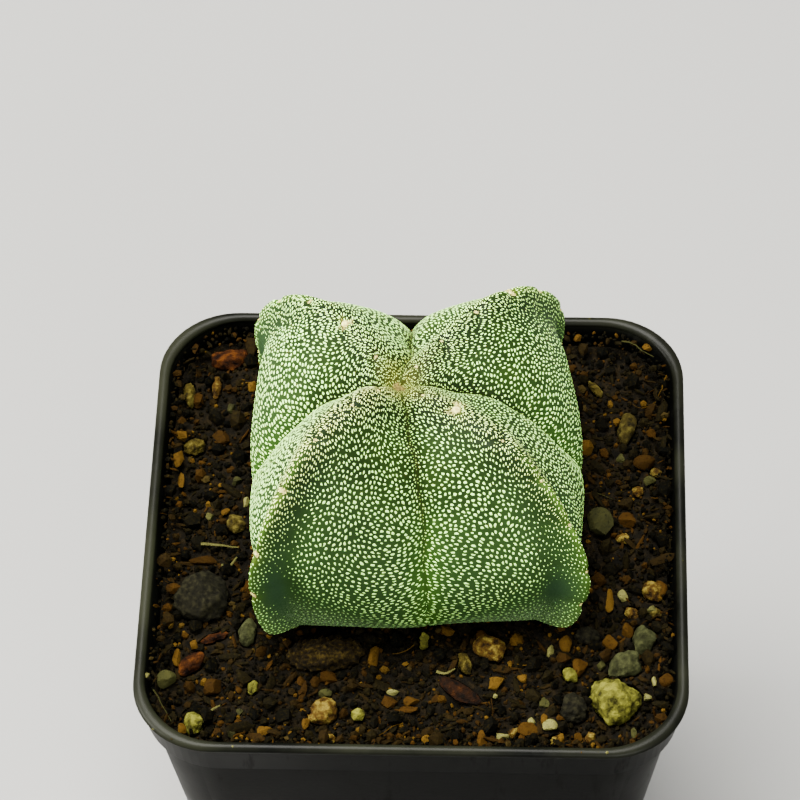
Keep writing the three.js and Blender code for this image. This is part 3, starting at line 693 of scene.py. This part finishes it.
def skin_shares(station, here):
    """How strongly each of the skin's shades shows at each point."""
    lower = smooth_step(station, 0.35, 0.75)
    # Painted shade: darker near the upper ribs, the crown and the upper furrows, and in the hollows beside
    # the lower ribs
    painted_shade_share = 0.8 * hill(here.from_rib, 3) * here.upper + 0.8 * here.near_crown
    painted_shade_share = painted_shade_share + 0.7 * hill(here.from_furrow, 1.2) * here.upper + 0.6 * hollow_share(here)
    crest = hill(here.from_rib, blend(0.45, 0.75, smooth_step(station, 0.5, 0.7)))
    bald = bald_share(here)
    dusty = smooth_step(station + 0.003 * here.from_furrow, 0.79, 0.91) * (1 - bald)
    return {
        "painted_shade": np.clip(painted_shade_share, 0, 1),
        "foot_rib": crest * smooth_step(station, 0.33, 0.5),
        "spot": hill(here.from_rib, 0.5) * areole_share(station, here.rib, 0.014, 0.009, AREOLE_SEEN),
        "lower_face": lower,
        # Painted light: a brighter green near the lower furrows
        "painted_lower_furrow_light": hill(here.from_furrow, 2.5) * lower,
        "bald": bald,
        "crown": hill(here.half, 2.6),
        "crease": np.exp(-here.from_furrow / 0.14) * (1 - lower),
        "powder": dusty * (1 - 0.6 * hill(here.from_rib, 2.5)),
    }


def make_skin(finish):
    rows = BODY_ROWS + ROOT_ROWS
    deselect_all()
    bpy.ops.mesh.primitive_uv_sphere_add(segments=COLUMNS, ring_count=rows, radius=1)
    body = bpy.context.object
    body.name = "cactus_body"
    ball = get_points(body.data)
    row = np.rint(np.arccos(np.clip(ball[:, 2], -1, 1)) / np.pi * rows)
    column = np.rint(np.arctan2(ball[:, 1], ball[:, 0]) / (2 * np.pi) * COLUMNS) % COLUMNS
    half_face = COLUMNS / 8
    face = np.floor((column + half_face) / (2 * half_face))
    part = (column - face * 2 * half_face) / half_face
    angle = 90 * face + 45 * (part - 0.7 * np.sin(2 * np.pi * part) / (2 * np.pi))
    station = np.clip(row / BODY_ROWS, 0, 1)
    points = skin(station, angle)
    under = np.clip((row - BODY_ROWS) / ROOT_ROWS, 0, 1)
    buried = under > 0
    middle = np.array([PLANT_X * MM, PLANT_Y * MM])
    share = smooth(ROOT_SHARE, under[buried])[:, None]
    points[buried, :2] = middle + (points[buried, :2] - middle) * share
    points[buried, 2] = RIM + smooth(ROOT_HEIGHT, under[buried]) * MM
    set_points(body.data, points)
    bpy.ops.object.shade_smooth()
    finish_piece(body, finish, "cactus_skin", **skin_shares(station, Section(station, angle)))
    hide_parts("cactus")


# The flecks: spread over the skin by a rule, each a low many-sided tuft fitted between its neighbours

def fleck_layout(points, here):
    """Spacing in millimetres, and how long and which way the flecks lie."""
    near_rib = hill(here.from_rib, 3)
    low = smooth_step(here.station, 0.45, 0.65)
    spacing = FLECK_SPACING * (1 - 0.28 * here.near_crown) * (1 - (0.3 - 0.13 * low) * near_rib)
    spacing = spacing * (1 + 0.06 * low) * (1 - 0.35 * np.exp(-here.from_furrow / 0.6))
    roam = wander(points, 3.2, 1)
    herringbone = hill(here.from_furrow, 10) * low
    streak = here.near_crown + near_rib * here.upper + 0.8 * herringbone
    longer = 1.3 + 1.6 * np.clip(streak, 0, 1) + 0.6 * np.clip(roam, 0, 1)
    lie = 0.5 * np.pi * smooth_step(here.from_furrow - here.from_rib, -6, 6)
    lie = lie + 1.6 * roam * (1 - 0.6 * near_rib * here.upper)
    lie = blend(lie, 0.6 * np.sign(here.offset), herringbone)
    return spacing, longer, lie


def fleck_looks(points, here):
    """How full each fleck is, whether it is there, how warm, aged and faint it is."""
    station = here.station
    near_rib = hill(here.from_rib, 2.6)
    low = smooth_step(station, 0.45, 0.75)
    roam = wander(points, 3.2, 1)
    bald = bald_share(here)
    chance = random_numbers("fleck_chance").random(len(points))
    fill = 0.81 + 0.06 * np.clip(here.near_crown + near_rib * here.upper, 0, 1) - 0.18 * low - 0.3 * bald
    fill = fill - 0.1 * (1 - smooth_step(station, 0.3, 0.5)) + 0.1 * (here.face > 1)
    fill = fill - 0.2 * hollow_share(here) * (here.face < 2)
    beside = hill(here.from_rib, 2.5) * smooth_step(station, 0.32, 0.45)
    fill = fill - beside * (0.1 + 0.12 * (here.rib == 0)) + 0.2 * hill(here.from_rib, 1) * low
    fill = fill * (0.84 + 0.32 * chance)
    areole = areole_share(station, here.rib, 0.006, 0.012, AREOLE_SEEN) * hill(here.from_rib, 0.5)
    there = wander(points, 1.3, 2) < 0.68 + 0.4 * np.clip(here.near_crown + near_rib, 0, 1)
    there &= bald + 0.3 * roam < 0.3 + 0.45 * chance
    there &= areole < 0.6
    there &= (here.from_furrow > 0.03) | (station < 0.05)
    there &= station + 0.04 * roam < 0.9 + 0.1 * hill(here.from_rib, 1.5)
    crest = np.array(CREST_WARMTH)[here.rib] * hill(here.from_rib, 2) * here.upper
    back = hill(here.from_furrow, 1.5) * hill(here.half - 3, 3) * (here.face == 2)
    furrow = 0.7 * np.exp(-here.from_furrow / 0.6) * here.upper
    faint = smooth_step(station + 0.03 * roam + 0.008 * here.from_furrow, 0.8, 0.86)
    return fill, there, {
        "warm": np.clip(crest + 0.1 * here.near_crown + 0.12 * roam, 0, 1),
        "aged": np.clip(hill(here.half, 2) + back + furrow, 0, 1) * (0.5 + 0.5 * chance),
        "faint": faint * (1 - 0.8 * hill(here.from_rib, 1.3)),
    }


def fleck_candidates():
    """Stations and angles spread evenly over the skin's area, in a random order."""
    draw = random_numbers("flecks")
    station_edges = np.linspace(*FLECK_STATIONS, FLECK_ROWS + 1)
    angle_edges = np.linspace(0, 360, FLECK_COLUMNS + 1)
    grid = skin(station_edges[:, None], angle_edges[None, :])
    down = grid[1:, :-1] - grid[:-1, :-1]
    across = grid[:-1, 1:] - grid[:-1, :-1]
    area = np.linalg.norm(np.cross(down, across), axis=-1).ravel()
    chosen = draw.choice(len(area), FLECK_CANDIDATES, p=area / area.sum())
    places = np.unravel_index(chosen, (FLECK_ROWS, FLECK_COLUMNS))
    return [
        edges[place] + draw.random(FLECK_CANDIDATES) * (edges[1] - edges[0])
        for edges, place in zip((station_edges, angle_edges), places)
    ]


def thin_out(points, long_way, spacing, longer):
    """Keeps the points that lie far enough from those kept before them."""
    cell = 1.6 * FLECK_SPACING * MM
    kept = []
    cells = {}
    table = np.column_stack([points, long_way, (spacing * MM) ** 2, longer, 1 - longer ** -2]).tolist()
    homes = np.floor(points / cell).astype(int).tolist()
    around = [(i, j, k) for i in (-1, 0, 1) for j in (-1, 0, 1) for k in (-1, 0, 1)]
    for index, (x, y, z, dx, dy, dz, space, stretch, squash) in enumerate(table):
        hx, hy, hz = homes[index]
        for ox, oy, oz in (o for i, j, k in around for o in cells.get((hx + i, hy + j, hz + k), ())):
            ax, ay, az = ox - x, oy - y, oz - z
            along = ax * dx + ay * dy + az * dz
            if (ax * ax + ay * ay + az * az - along * along * squash) * stretch < space:
                break
        else:
            kept.append(index)
            cells.setdefault((hx, hy, hz), []).append((x, y, z))
    return np.array(kept)


def make_flecks(finish):
    station, angle = fleck_candidates()
    points, normal, round_way, down = skin_frame(station, angle)
    spacing, longer, lie = fleck_layout(points, Section(station, angle))
    long_way = round_way * np.cos(lie)[:, None] + down * np.sin(lie)[:, None]
    kept = thin_out(points, long_way, spacing, longer)
    points, normal, long_way, spacing = points[kept], normal[kept], long_way[kept], spacing[kept]
    stretch = np.sqrt(longer[kept])
    here = Section(station[kept], angle[kept])
    fill, there, shares = fleck_looks(points, here)
    cross_way = np.cross(normal, long_way)
    tree = KDTree(len(points))
    for i, p in enumerate(points):
        tree.insert(p, i)
    tree.balance()
    neighbours = np.array([[found[1] for found in tree.find_n(p, 10)][1:] for p in points])
    near = points[neighbours] - points[:, None]
    flat = np.stack([
        (near * long_way[:, None]).sum(-1) / stretch[:, None],
        (near * cross_way[:, None]).sum(-1) * stretch[:, None],
    ], -1)
    draw = random_numbers("fleck_sides")
    count = len(points)
    turn = np.arange(FLECK_SIDES) + draw.random((count, 1)) + 0.7 * draw.random((count, FLECK_SIDES))
    turn = turn * 2 * np.pi / FLECK_SIDES
    ways = np.stack([np.cos(turn), np.sin(turn)], -1)
    distance = np.linalg.norm(flat, axis=-1)
    facing = np.maximum(np.einsum("nka,nja->nkj", ways, flat / distance[..., None]), 0.05)
    reach = np.minimum((0.5 * distance[:, None] / facing).min(-1), 0.75 * spacing[:, None] * MM)
    reach = (reach - FLECK_GAP * MM) * fill[:, None] * (0.6 + 0.55 * draw.random((count, FLECK_SIDES)))
    reach = np.maximum(reach, FLECK_LEAST * MM)
    along = ways[..., :1] * reach[..., None] * stretch[:, None, None]
    across = ways[..., 1:] * reach[..., None] / stretch[:, None, None]
    offset = along * long_way[:, None] + across * cross_way[:, None]
    rise = FLECK_RISE * MM * (0.7 + 0.6 * draw.random(count))[:, None, None]
    out = normal[:, None]
    lower = points[:, None] + offset - out * FLECK_SUNK * MM
    upper = points[:, None] + offset * FLECK_TAPER + out * rise * 0.7
    top = points[:, None] + out * rise
    made = np.concatenate([lower, upper, top], 1)
    sides = np.arange(FLECK_SIDES)
    following = (sides + 1) % FLECK_SIDES
    walls = np.stack([sides, following, following + FLECK_SIDES, sides + FLECK_SIDES], -1)
    caps = np.stack([sides + FLECK_SIDES, following + FLECK_SIDES, 0 * sides + 2 * FLECK_SIDES], -1)
    each = made.shape[1]
    for number, name in enumerate(("front", "right", "back", "left")):
        chosen = there & (here.face == number)
        first = np.arange(chosen.sum())[:, None, None] * each
        faces = (first + walls).reshape(-1, 4).tolist() + (first + caps).reshape(-1, 3).tolist()
        own = {share: np.repeat(values[chosen], each) for share, values in shares.items()}
        add_piece("flecks_" + name, made[chosen].reshape(-1, 3), faces, finish, "cactus_skin", 60, **own)


# Wool on the areoles and in the crown: a pad with short hairs

def across_ways(normal):
    """Two directions square to the normal and to each other."""
    side = unit(np.cross(normal, [0.3, 0.2, 0.9]))
    return side, np.cross(normal, side)


def hair_tuft(centre, normal, radius, count, length, draw):
    """Points and faces of short bent hairs that stand on a pad round the centre."""
    side, other = across_ways(normal)
    turn = draw.random(count) * 2 * np.pi
    out = np.sqrt(draw.random(count))
    way = np.cos(turn)[:, None] * side + np.sin(turn)[:, None] * other
    root = centre + way * (out * radius)[:, None] - normal * 0.15 * radius
    aim = unit(normal + way * (0.3 + 1.3 * out)[:, None] + 0.5 * draw.normal(size=(count, 3)))
    tall = length * (0.6 + 0.7 * draw.random(count))[:, None]
    bend = unit(aim + 0.7 * draw.normal(size=(count, 3)))
    knee = root + aim * tall * 0.6
    tip = knee + bend * tall * 0.4
    across = unit(np.cross(aim, normal + 0.01))
    third = np.cross(aim, across)
    rings = []
    for middle, thick in zip((root, knee), HAIR_THICKNESS):
        for k in range(3):
            spin = 2 * np.pi * k / 3
            rings.append(middle + (across * np.cos(spin) + third * np.sin(spin)) * (thick * MM))
    points = np.stack([*rings, tip], 1).reshape(-1, 3)
    pattern = [(2, 1, 0)]
    for k in range(3):
        m = (k + 1) % 3
        pattern += [(k, m, m + 3), (k, m + 3, k + 3), (k + 3, m + 3, 6)]
    faces = (np.arange(count)[:, None, None] * 7 + np.array(pattern)).reshape(-1, 3)
    return points, faces


def wool_pad(centre, normal, radius, ball, triangles, draw):
    """Points and faces of a low lumpy cushion."""
    side, other = across_ways(normal)
    lumps = 1 + 0.2 * draw.random(len(ball))[:, None]
    shaped = ball * lumps * radius
    points = centre + shaped[:, :1] * side + shaped[:, 1:2] * other
    return points + shaped[:, 2:] * PAD_FLATNESS * normal, triangles


def ball_pattern(subdivisions):
    """Points and triangles of a ball one unit across its radius."""
    deselect_all()
    bpy.ops.mesh.primitive_ico_sphere_add(subdivisions=subdivisions, radius=1)
    pattern = bpy.context.object
    points = get_points(pattern.data)
    triangles = [tuple(face.vertices) for face in pattern.data.polygons]
    bpy.data.objects.remove(pattern, do_unlink=True)
    return points, triangles


def joined(parts):
    """Points and faces of all the parts as one."""
    points, faces, first = [], [], 0
    for part_points, part_faces in parts:
        points.append(part_points)
        faces.append(np.asarray(part_faces) + first)
        first += len(part_points)
    return np.concatenate(points), np.concatenate(faces).tolist()


def make_wool(areole_finish, crown_finish):
    draw = random_numbers("wool")
    ball, triangles = ball_pattern(2)
    parts = []
    for rib, areoles in enumerate(AREOLES):
        for station, size in areoles:
            point, normal, _, _ = skin_frame(np.array([station]), np.array([45.0 + 90 * rib]))
            radius = size * MM
            hairs = int(AREOLE_HAIRS * size)
            parts.append(wool_pad(point[0], normal[0], 0.55 * radius, ball, triangles, draw))
            parts.append(hair_tuft(point[0], normal[0], 0.9 * radius, hairs, 0.65 * radius, draw))
    add_piece("areole_wool", *joined(parts), areole_finish, "cactus_skin", 60)
    apex = skin(np.array([0.02]), np.array([0.0, 90.0, 180.0, 270.0])).mean(0)
    up = np.array([0, 0, 1.0])
    parts = []
    for step in (-0.9, -0.3, 0.3, 0.9):
        place = apex + np.array([step, -0.6 - 0.8 * step, -0.1]) * MM
        parts.append(wool_pad(place - up * 0.3 * MM, up, 0.5 * MM, ball, triangles, draw))
        parts.append(hair_tuft(place, up, 0.6 * MM, CROWN_HAIRS, 0.7 * MM, draw))
    add_piece("crown_wool", *joined(parts), crown_finish, "cactus_skin", 60)


# The loose grains: angular bits scattered over the soil, clear of the plant, the stones and the wall

def stone_nodes():
    return [name for name in frame["nodes"] if name.startswith(("stone_", "chip_", "bark_"))]


def wall_distance(x, y):
    """How far inside the soil's rounded square each place lies."""
    centre = SOIL_HALF - SOIL_CORNER
    over_x, over_y = np.abs(x) - centre, np.abs(y) - centre
    in_corner = (over_x > 0) & (over_y > 0)
    return SOIL_CORNER - np.where(in_corner, np.hypot(over_x, over_y), np.maximum(over_x, over_y))


def open_ground(x, y, size):
    """True where a grain of that size lies inside the pot, outside the plant and off the stones."""
    clearance = GRAIN_CLEARANCE * size
    free = wall_distance(x, y) > GRAIN_INSET * size
    foot = skin(FOOT_STATION, np.linspace(0, 360, 361))[:, :2] - np.array([PLANT_X, PLANT_Y]) * MM
    azimuth = np.arctan2(foot[:, 1], foot[:, 0])
    order = np.argsort(azimuth)
    own_x, own_y = x - PLANT_X * MM, y - PLANT_Y * MM
    own = np.arctan2(own_y, own_x)
    reach = np.interp(own, azimuth[order], np.hypot(*foot.T)[order], period=2 * np.pi)
    free &= np.hypot(own_x, own_y) > reach + clearance
    for name in stone_nodes():
        low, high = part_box(name)
        across = max((high.x - low.x), (high.y - low.y))
        u = (x - (low.x + high.x) / 2) / (high.x - low.x) * across
        v = (y - (low.y + high.y) / 2) / (high.y - low.y) * across
        free &= np.hypot(u, v) > STONE_FOOTPRINT * across + clearance
    for _, grain_x, grain_y, wide, deep in SEEN_GRAINS:
        away = np.hypot((x / MM - grain_x) / wide, (y / MM - grain_y) / deep)
        free &= away > STONE_FOOTPRINT + clearance / MM / min(wide, deep)
    return free


def spread(x, y, size, closest):
    """Keeps, largest first, the grains that lie far enough from those kept before them."""
    cell = float(size.max())
    cells = {}
    kept = []
    for i in np.argsort(-size).tolist():
        px, py, s = float(x[i]), float(y[i]), float(size[i])
        cx, cy = int(px // cell), int(py // cell)
        others = [o for a in (-1, 0, 1) for b in (-1, 0, 1) for o in cells.get((cx + a, cy + b), ())]
        if all(math.hypot(ox - px, oy - py) > closest * (s + os) / 2 for ox, oy, os in others):
            kept.append(i)
            cells.setdefault((cx, cy), []).append((px, py, s))
    return np.array(kept)


def random_turns(count, draw, tilt):
    """Rotations from random unit quaternions, whose tilt runs from 0 (flat) to 1 (any way up)."""
    w, x, y, z = unit(draw.normal(size=(count, 4)) * np.stack([tilt ** 0, tilt, tilt, tilt ** 0], -1)).T
    rows = [
        [1 - 2 * (y * y + z * z), 2 * (x * y - z * w), 2 * (x * z + y * w)],
        [2 * (x * y + z * w), 1 - 2 * (x * x + z * z), 2 * (y * z - x * w)],
        [2 * (x * z - y * w), 2 * (y * z + x * w), 1 - 2 * (x * x + y * y)],
    ]
    return np.moveaxis(np.array(rows), 2, 0)


def soil_level(x, y, ground):
    """Height of the soil, which banks up against the wall of the pot."""
    hits = [ground.ray_cast(Vector((a, b, RIM + 0.05)), Vector((0, 0, -1)))[0] for a, b in zip(x, y)]
    level = np.array([RIM - SOIL_DEPTH if hit is None else hit.z for hit in hits])
    bank = SOIL_BANK * hill(wall_distance(x, y), SOIL_BANK_WIDTH)
    return np.maximum(level, RIM - SOIL_DEPTH - MM) + bank


def grain_shapes(x, y, z, size, sliver, draw):
    """Points and faces of jagged grains, some of them flat splinters."""
    count = len(x)
    ball, triangles = ball_pattern(1)
    shape = ball[None] * (0.5 * (0.7 + 0.45 * draw.random((count, len(ball), 1))))
    sides = size[:, None] * (0.6 + 0.55 * draw.random((count, 3)))
    sides[sliver] *= np.array([1.8, 0.6, 0.35])
    tilt = np.where(sliver, 0.25, 1)
    turned = np.einsum("nab,nkb->nka", random_turns(count, draw, tilt), shape * sides[:, None])
    points = turned + np.stack([x, y, z], -1)[:, None]
    faces = np.arange(count)[:, None, None] * len(ball) + np.array(triangles)
    return points.reshape(-1, 3), faces.reshape(-1, 3).tolist()


def add_grit(name, points, faces, finish, tone, smooth_angle=None):
    """A piece of grit, whose tones are spread evenly over its points in their order."""
    tone = np.repeat(tone, len(points) // len(tone))
    add_piece(name, points, faces, finish, "soil_grit", smooth_angle, tone=tone)


def make_grains(name, ground, finish):
    count, (least, most), closest, seat, splinters, palest = GRAINS[name]
    draw = random_numbers(name)
    x, y = draw.uniform(-SOIL_HALF, SOIL_HALF, (2, count))
    size = least * (most / least) ** (draw.random(count) ** 1.3)
    free = open_ground(x, y, size)
    x, y, size = x[free], y[free], size[free]
    kept = spread(x, y, size, closest)
    x, y, size = x[kept], y[kept], size[kept]
    z = soil_level(x, y, ground) + seat * size
    sliver = draw.random(len(x)) < splinters
    points, faces = grain_shapes(x, y, z, size, sliver, draw)
    patch = wander(np.stack([x, y, z], -1), 5, SEEDS[name])
    tone = np.clip(draw.random(len(x)) ** 1.25 + 0.35 * patch, 0, 1) * palest
    tone[sliver] = 0.4 + 0.42 * draw.random(sliver.sum()) ** 1.5
    add_grit(name, points, faces, finish, tone)


def make_bits(finish):
    """Single crumbs, on the rim and on the soil."""
    x, y, z, size, tone = np.array(BITS).T
    sliver = np.zeros(len(x), bool)
    draw = random_numbers("stray_crumbs")
    points, faces = grain_shapes(x * MM, y * MM, RIM + z * MM, size * MM, sliver, draw)
    add_grit("stray_crumbs", points, faces, finish, tone)


def make_seen_grains(ground, finish):
    """The grains that stand out: balls with flat faces broken off, lying on the soil."""
    draw = random_numbers("grit_standing_out")
    tone = np.array([GRAIN_TONES[kind] for kind, *_ in SEEN_GRAINS])
    x, y, wide, deep = np.array([grain[1:] for grain in SEEN_GRAINS]).T * MM
    tall = 0.85 * np.minimum(wide, deep)
    count = len(tone)
    ball, triangles = ball_pattern(3)
    shape = np.repeat(ball[None], count, 0)
    for _ in range(9):
        way = unit(draw.normal(size=(count, 3)))
        over = np.einsum("nka,na->nk", shape, way) - draw.uniform(0.45, 0.75, (count, 1))
        shape = shape - np.maximum(over, 0)[..., None] * way[:, None]
    shape = shape * 0.55 * np.stack([wide, deep, tall], -1)[:, None]
    z = soil_level(x, y, ground) + 0.15 * tall
    points = (shape + np.stack([x, y, z], -1)[:, None]).reshape(-1, 3)
    points = points + 0.09 * MM * wander(points, 0.5, 3)[:, None] * unit(shape.reshape(-1, 3))
    faces = (np.arange(count)[:, None, None] * len(ball) + np.array(triangles)).reshape(-1, 3).tolist()
    tone = np.repeat(tone, len(ball)) + 0.012 * wander(points, 0.8, 4)
    add_grit("grit_standing_out", points, faces, finish, tone, 30)


def rootlet(x, y, thick, ground):
    """Points and faces of a thin tube with four sides that lies on the soil and tapers."""
    steps = len(x)
    along = unit(np.stack([np.gradient(x), np.gradient(y)], -1))
    path = np.stack([x, y, soil_level(x, y, ground) + (0.35 + 1.5 * thick) * MM], -1)
    taper = thick * MM * np.linspace(1, 0.4, steps)[:, None]
    side = np.stack([-along[:, 1], along[:, 0], np.zeros(steps)], -1) * taper
    up = np.array([0, 0, 1.0]) * taper
    points = np.stack([path + side, path + up, path - side, path - up], 1).reshape(-1, 3)
    last = 4 * (steps - 1)
    faces = [(0, 1, 2), (0, 2, 3), (last, last + 2, last + 1), (last, last + 3, last + 2)]
    for step in range(steps - 1):
        for k in range(4):
            a, b = 4 * step + k, 4 * step + (k + 1) % 4
            faces += [(a, a + 4, b + 4), (a, b + 4, b)]
    return points, faces


def make_fibres(ground, finish):
    """Thin dry rootlets and twigs that lie on the soil."""
    draw = random_numbers("rootlets")
    parts = []
    while len(parts) < FIBRES:
        x, y = draw.uniform(-SOIL_HALF, SOIL_HALF, 2)
        length = draw.uniform(3, 7) * MM
        turn = draw.uniform(0, 2 * np.pi) + np.cumsum(draw.normal(0, 0.25, FIBRE_STEPS))
        path_x = x + np.cumsum(np.cos(turn)) * length / FIBRE_STEPS
        path_y = y + np.cumsum(np.sin(turn)) * length / FIBRE_STEPS
        if open_ground(path_x, path_y, np.full(FIBRE_STEPS, MM)).all():
            parts.append(rootlet(path_x, path_y, draw.uniform(0.07, 0.13), ground))
    for bends in TWIGS:
        step = np.linspace(0, len(bends) - 1, FIBRE_STEPS)
        x, y = (np.interp(step, np.arange(len(bends)), way) for way in np.array(bends).T * MM)
        parts.append(rootlet(x, y, TWIG_THICKNESS, ground))
    tone = np.concatenate([draw.choice(FIBRE_TONES, FIBRES), np.full(len(TWIGS), TWIG_TONE)])
    add_grit("rootlets", *joined(parts), finish, tone)


def make_soil(finish, bed_finish):
    soil = frame["nodes"]["soil"]
    soil.material_slots[0].material = bed_finish
    points = get_points(soil.data).tolist()
    ground = BVHTree.FromPolygons(points, [tuple(face.vertices) for face in soil.data.polygons])
    for name in GRAINS:
        make_grains(name, ground, finish)
    make_seen_grains(ground, finish)
    make_bits(finish)
    make_fibres(ground, finish)


# The stones and bark: the CAD shapes, their edges worn round and their faces roughened

def wear_stone(name, finish, slot_name):
    node = frame["nodes"][name]
    mesh = node.data.copy()
    mesh.name = name + "_worn"
    stone = link_object(name + "_worn", mesh)
    activate(stone)
    bpy.ops.object.mode_set(mode="EDIT")
    bpy.ops.mesh.select_all(action="SELECT")
    bpy.ops.mesh.remove_doubles(threshold=0.02 * MM)
    for _ in range(3 if len(mesh.polygons) > 40 else 4):
        bpy.ops.mesh.subdivide(number_cuts=1)
        bpy.ops.mesh.vertices_smooth(factor=0.22, repeat=1)
    bpy.ops.object.mode_set(mode="OBJECT")
    points = get_points(mesh)
    middle = points.mean(0)
    size = float(np.ptp(points, axis=0).max())
    seed = sum(name.encode())
    grain_way = np.linalg.svd(points - middle, full_matrices=False)[2][0]
    squeezed = points - 0.85 * (points @ grain_way)[:, None] * grain_way
    streak = wander(squeezed if name.startswith("bark") else points, 0.9, seed + 1)
    coarse = wander(points, size / MM * 0.35, seed)
    crumbs = wander(points, 0.5, seed + 2)
    rough = STONE_LUMPS * size * coarse + STREAK_DEPTH * streak
    rough = rough + CRUMBLE.get(name, LEAST_CRUMBLE) * MM * crumbs
    set_points(mesh, points + get_points(mesh, "normal") * rough[:, None])
    shade = np.full(len(points), STONE_SHADE.get(name, 0))
    finish_piece(stone, finish, slot_name, 40, streak=streak, shade=shade)
    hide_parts(name)


def make_stones():
    finishes = {}
    for slot_name, (dark, middle, light, scale) in STONE_COLOURS.items():
        finishes[slot_name] = stone_finish(slot_name, dark, middle, light, scale)
    slots = {part["node"]: part["material_slot"] for part in frame["record"]["subparts"]}
    for name in stone_nodes():
        wear_stone(name, finishes[slots[name]], slots[name])


# The camera, the light and the floor

def make_camera():
    deselect_all()
    bpy.ops.object.camera_add()
    camera = bpy.context.object
    camera.data.sensor_width = SENSOR
    camera.data.lens = SENSOR * FOCAL_PIXELS / PICTURE
    camera.data.clip_start = CAMERA_NEAR
    camera.data.clip_end = CAMERA_FAR
    place = Matrix.Translation(CAMERA_TARGET)
    for turn, axis in ((CAMERA_AZIMUTH, "Z"), (math.pi / 2 - CAMERA_ELEVATION, "X"), (CAMERA_ROLL, "Z")):
        place = place @ Matrix.Rotation(turn, 4, axis)
    camera.matrix_world = place @ Matrix.Translation((0, 0, CAMERA_DISTANCE))
    bpy.context.scene.camera = camera


def area_light(name, place, size, power, colour):
    light = bpy.data.lights.new(name, "AREA")
    light.shape = "RECTANGLE"
    light.size, light.size_y = size
    light.energy = power
    light.color = colour
    lamp = link_object(name, light)
    lamp.location = place
    aim = Vector((0, 0, RIM)) - Vector(place)
    lamp.rotation_euler = aim.to_track_quat("-Z", "Y").to_euler()


def make_stage():
    deselect_all()
    bpy.ops.mesh.primitive_plane_add(size=6)
    floor = bpy.context.object
    floor.name = "floor"
    pale = Finish("pale_floor", Specular_IOR_Level=0.3)
    pale.set("Base Color", pale.mix(pale.noise(6, 2), (0.175, 0.173, 0.168), (0.19, 0.188, 0.183)))
    pale.set("Roughness", pale.noise(30, 2) * 0.1 + 0.6)
    floor.data.materials.append(pale.material)
    area_light("overhead_softbox", (-0.12, 0.16, 0.75), (0.5, 0.4), 40, (1, 0.99, 0.93))
    area_light("left_softbox", (-0.7, -0.05, 0.42), (0.4, 0.5), 26, (1, 0.98, 0.92))
    area_light("front_fill", (0.35, -0.75, 0.5), (0.5, 0.4), 14, (0.99, 1, 0.97))
    world = bpy.data.worlds.new("studio")
    world.use_nodes = True
    sky = world.node_tree.nodes["Background"].inputs
    sky["Color"].default_value = (0.9, 0.95, 1, 1)
    sky["Strength"].default_value = 0.4
    bpy.context.scene.world = world


make_camera()
make_stage()
make_pot(plastic_finish())
make_skin(skin_finish())
make_flecks(fleck_finish())
make_wool(wool_finish("areole_wool", (0.72, 0.66, 0.19), (0.34, 0.28, 0.07)),
          wool_finish("crown_wool", (0.28, 0.22, 0.045), (0.085, 0.06, 0.01)))
make_soil(grit_finish("soil_grains"), stone_finish(
    "soil_bed", (0.0008, 0.0007, 0.0004), (0.002, 0.0015, 0.0007), (0.006, 0.004, 0.0015), 900))
make_stones()
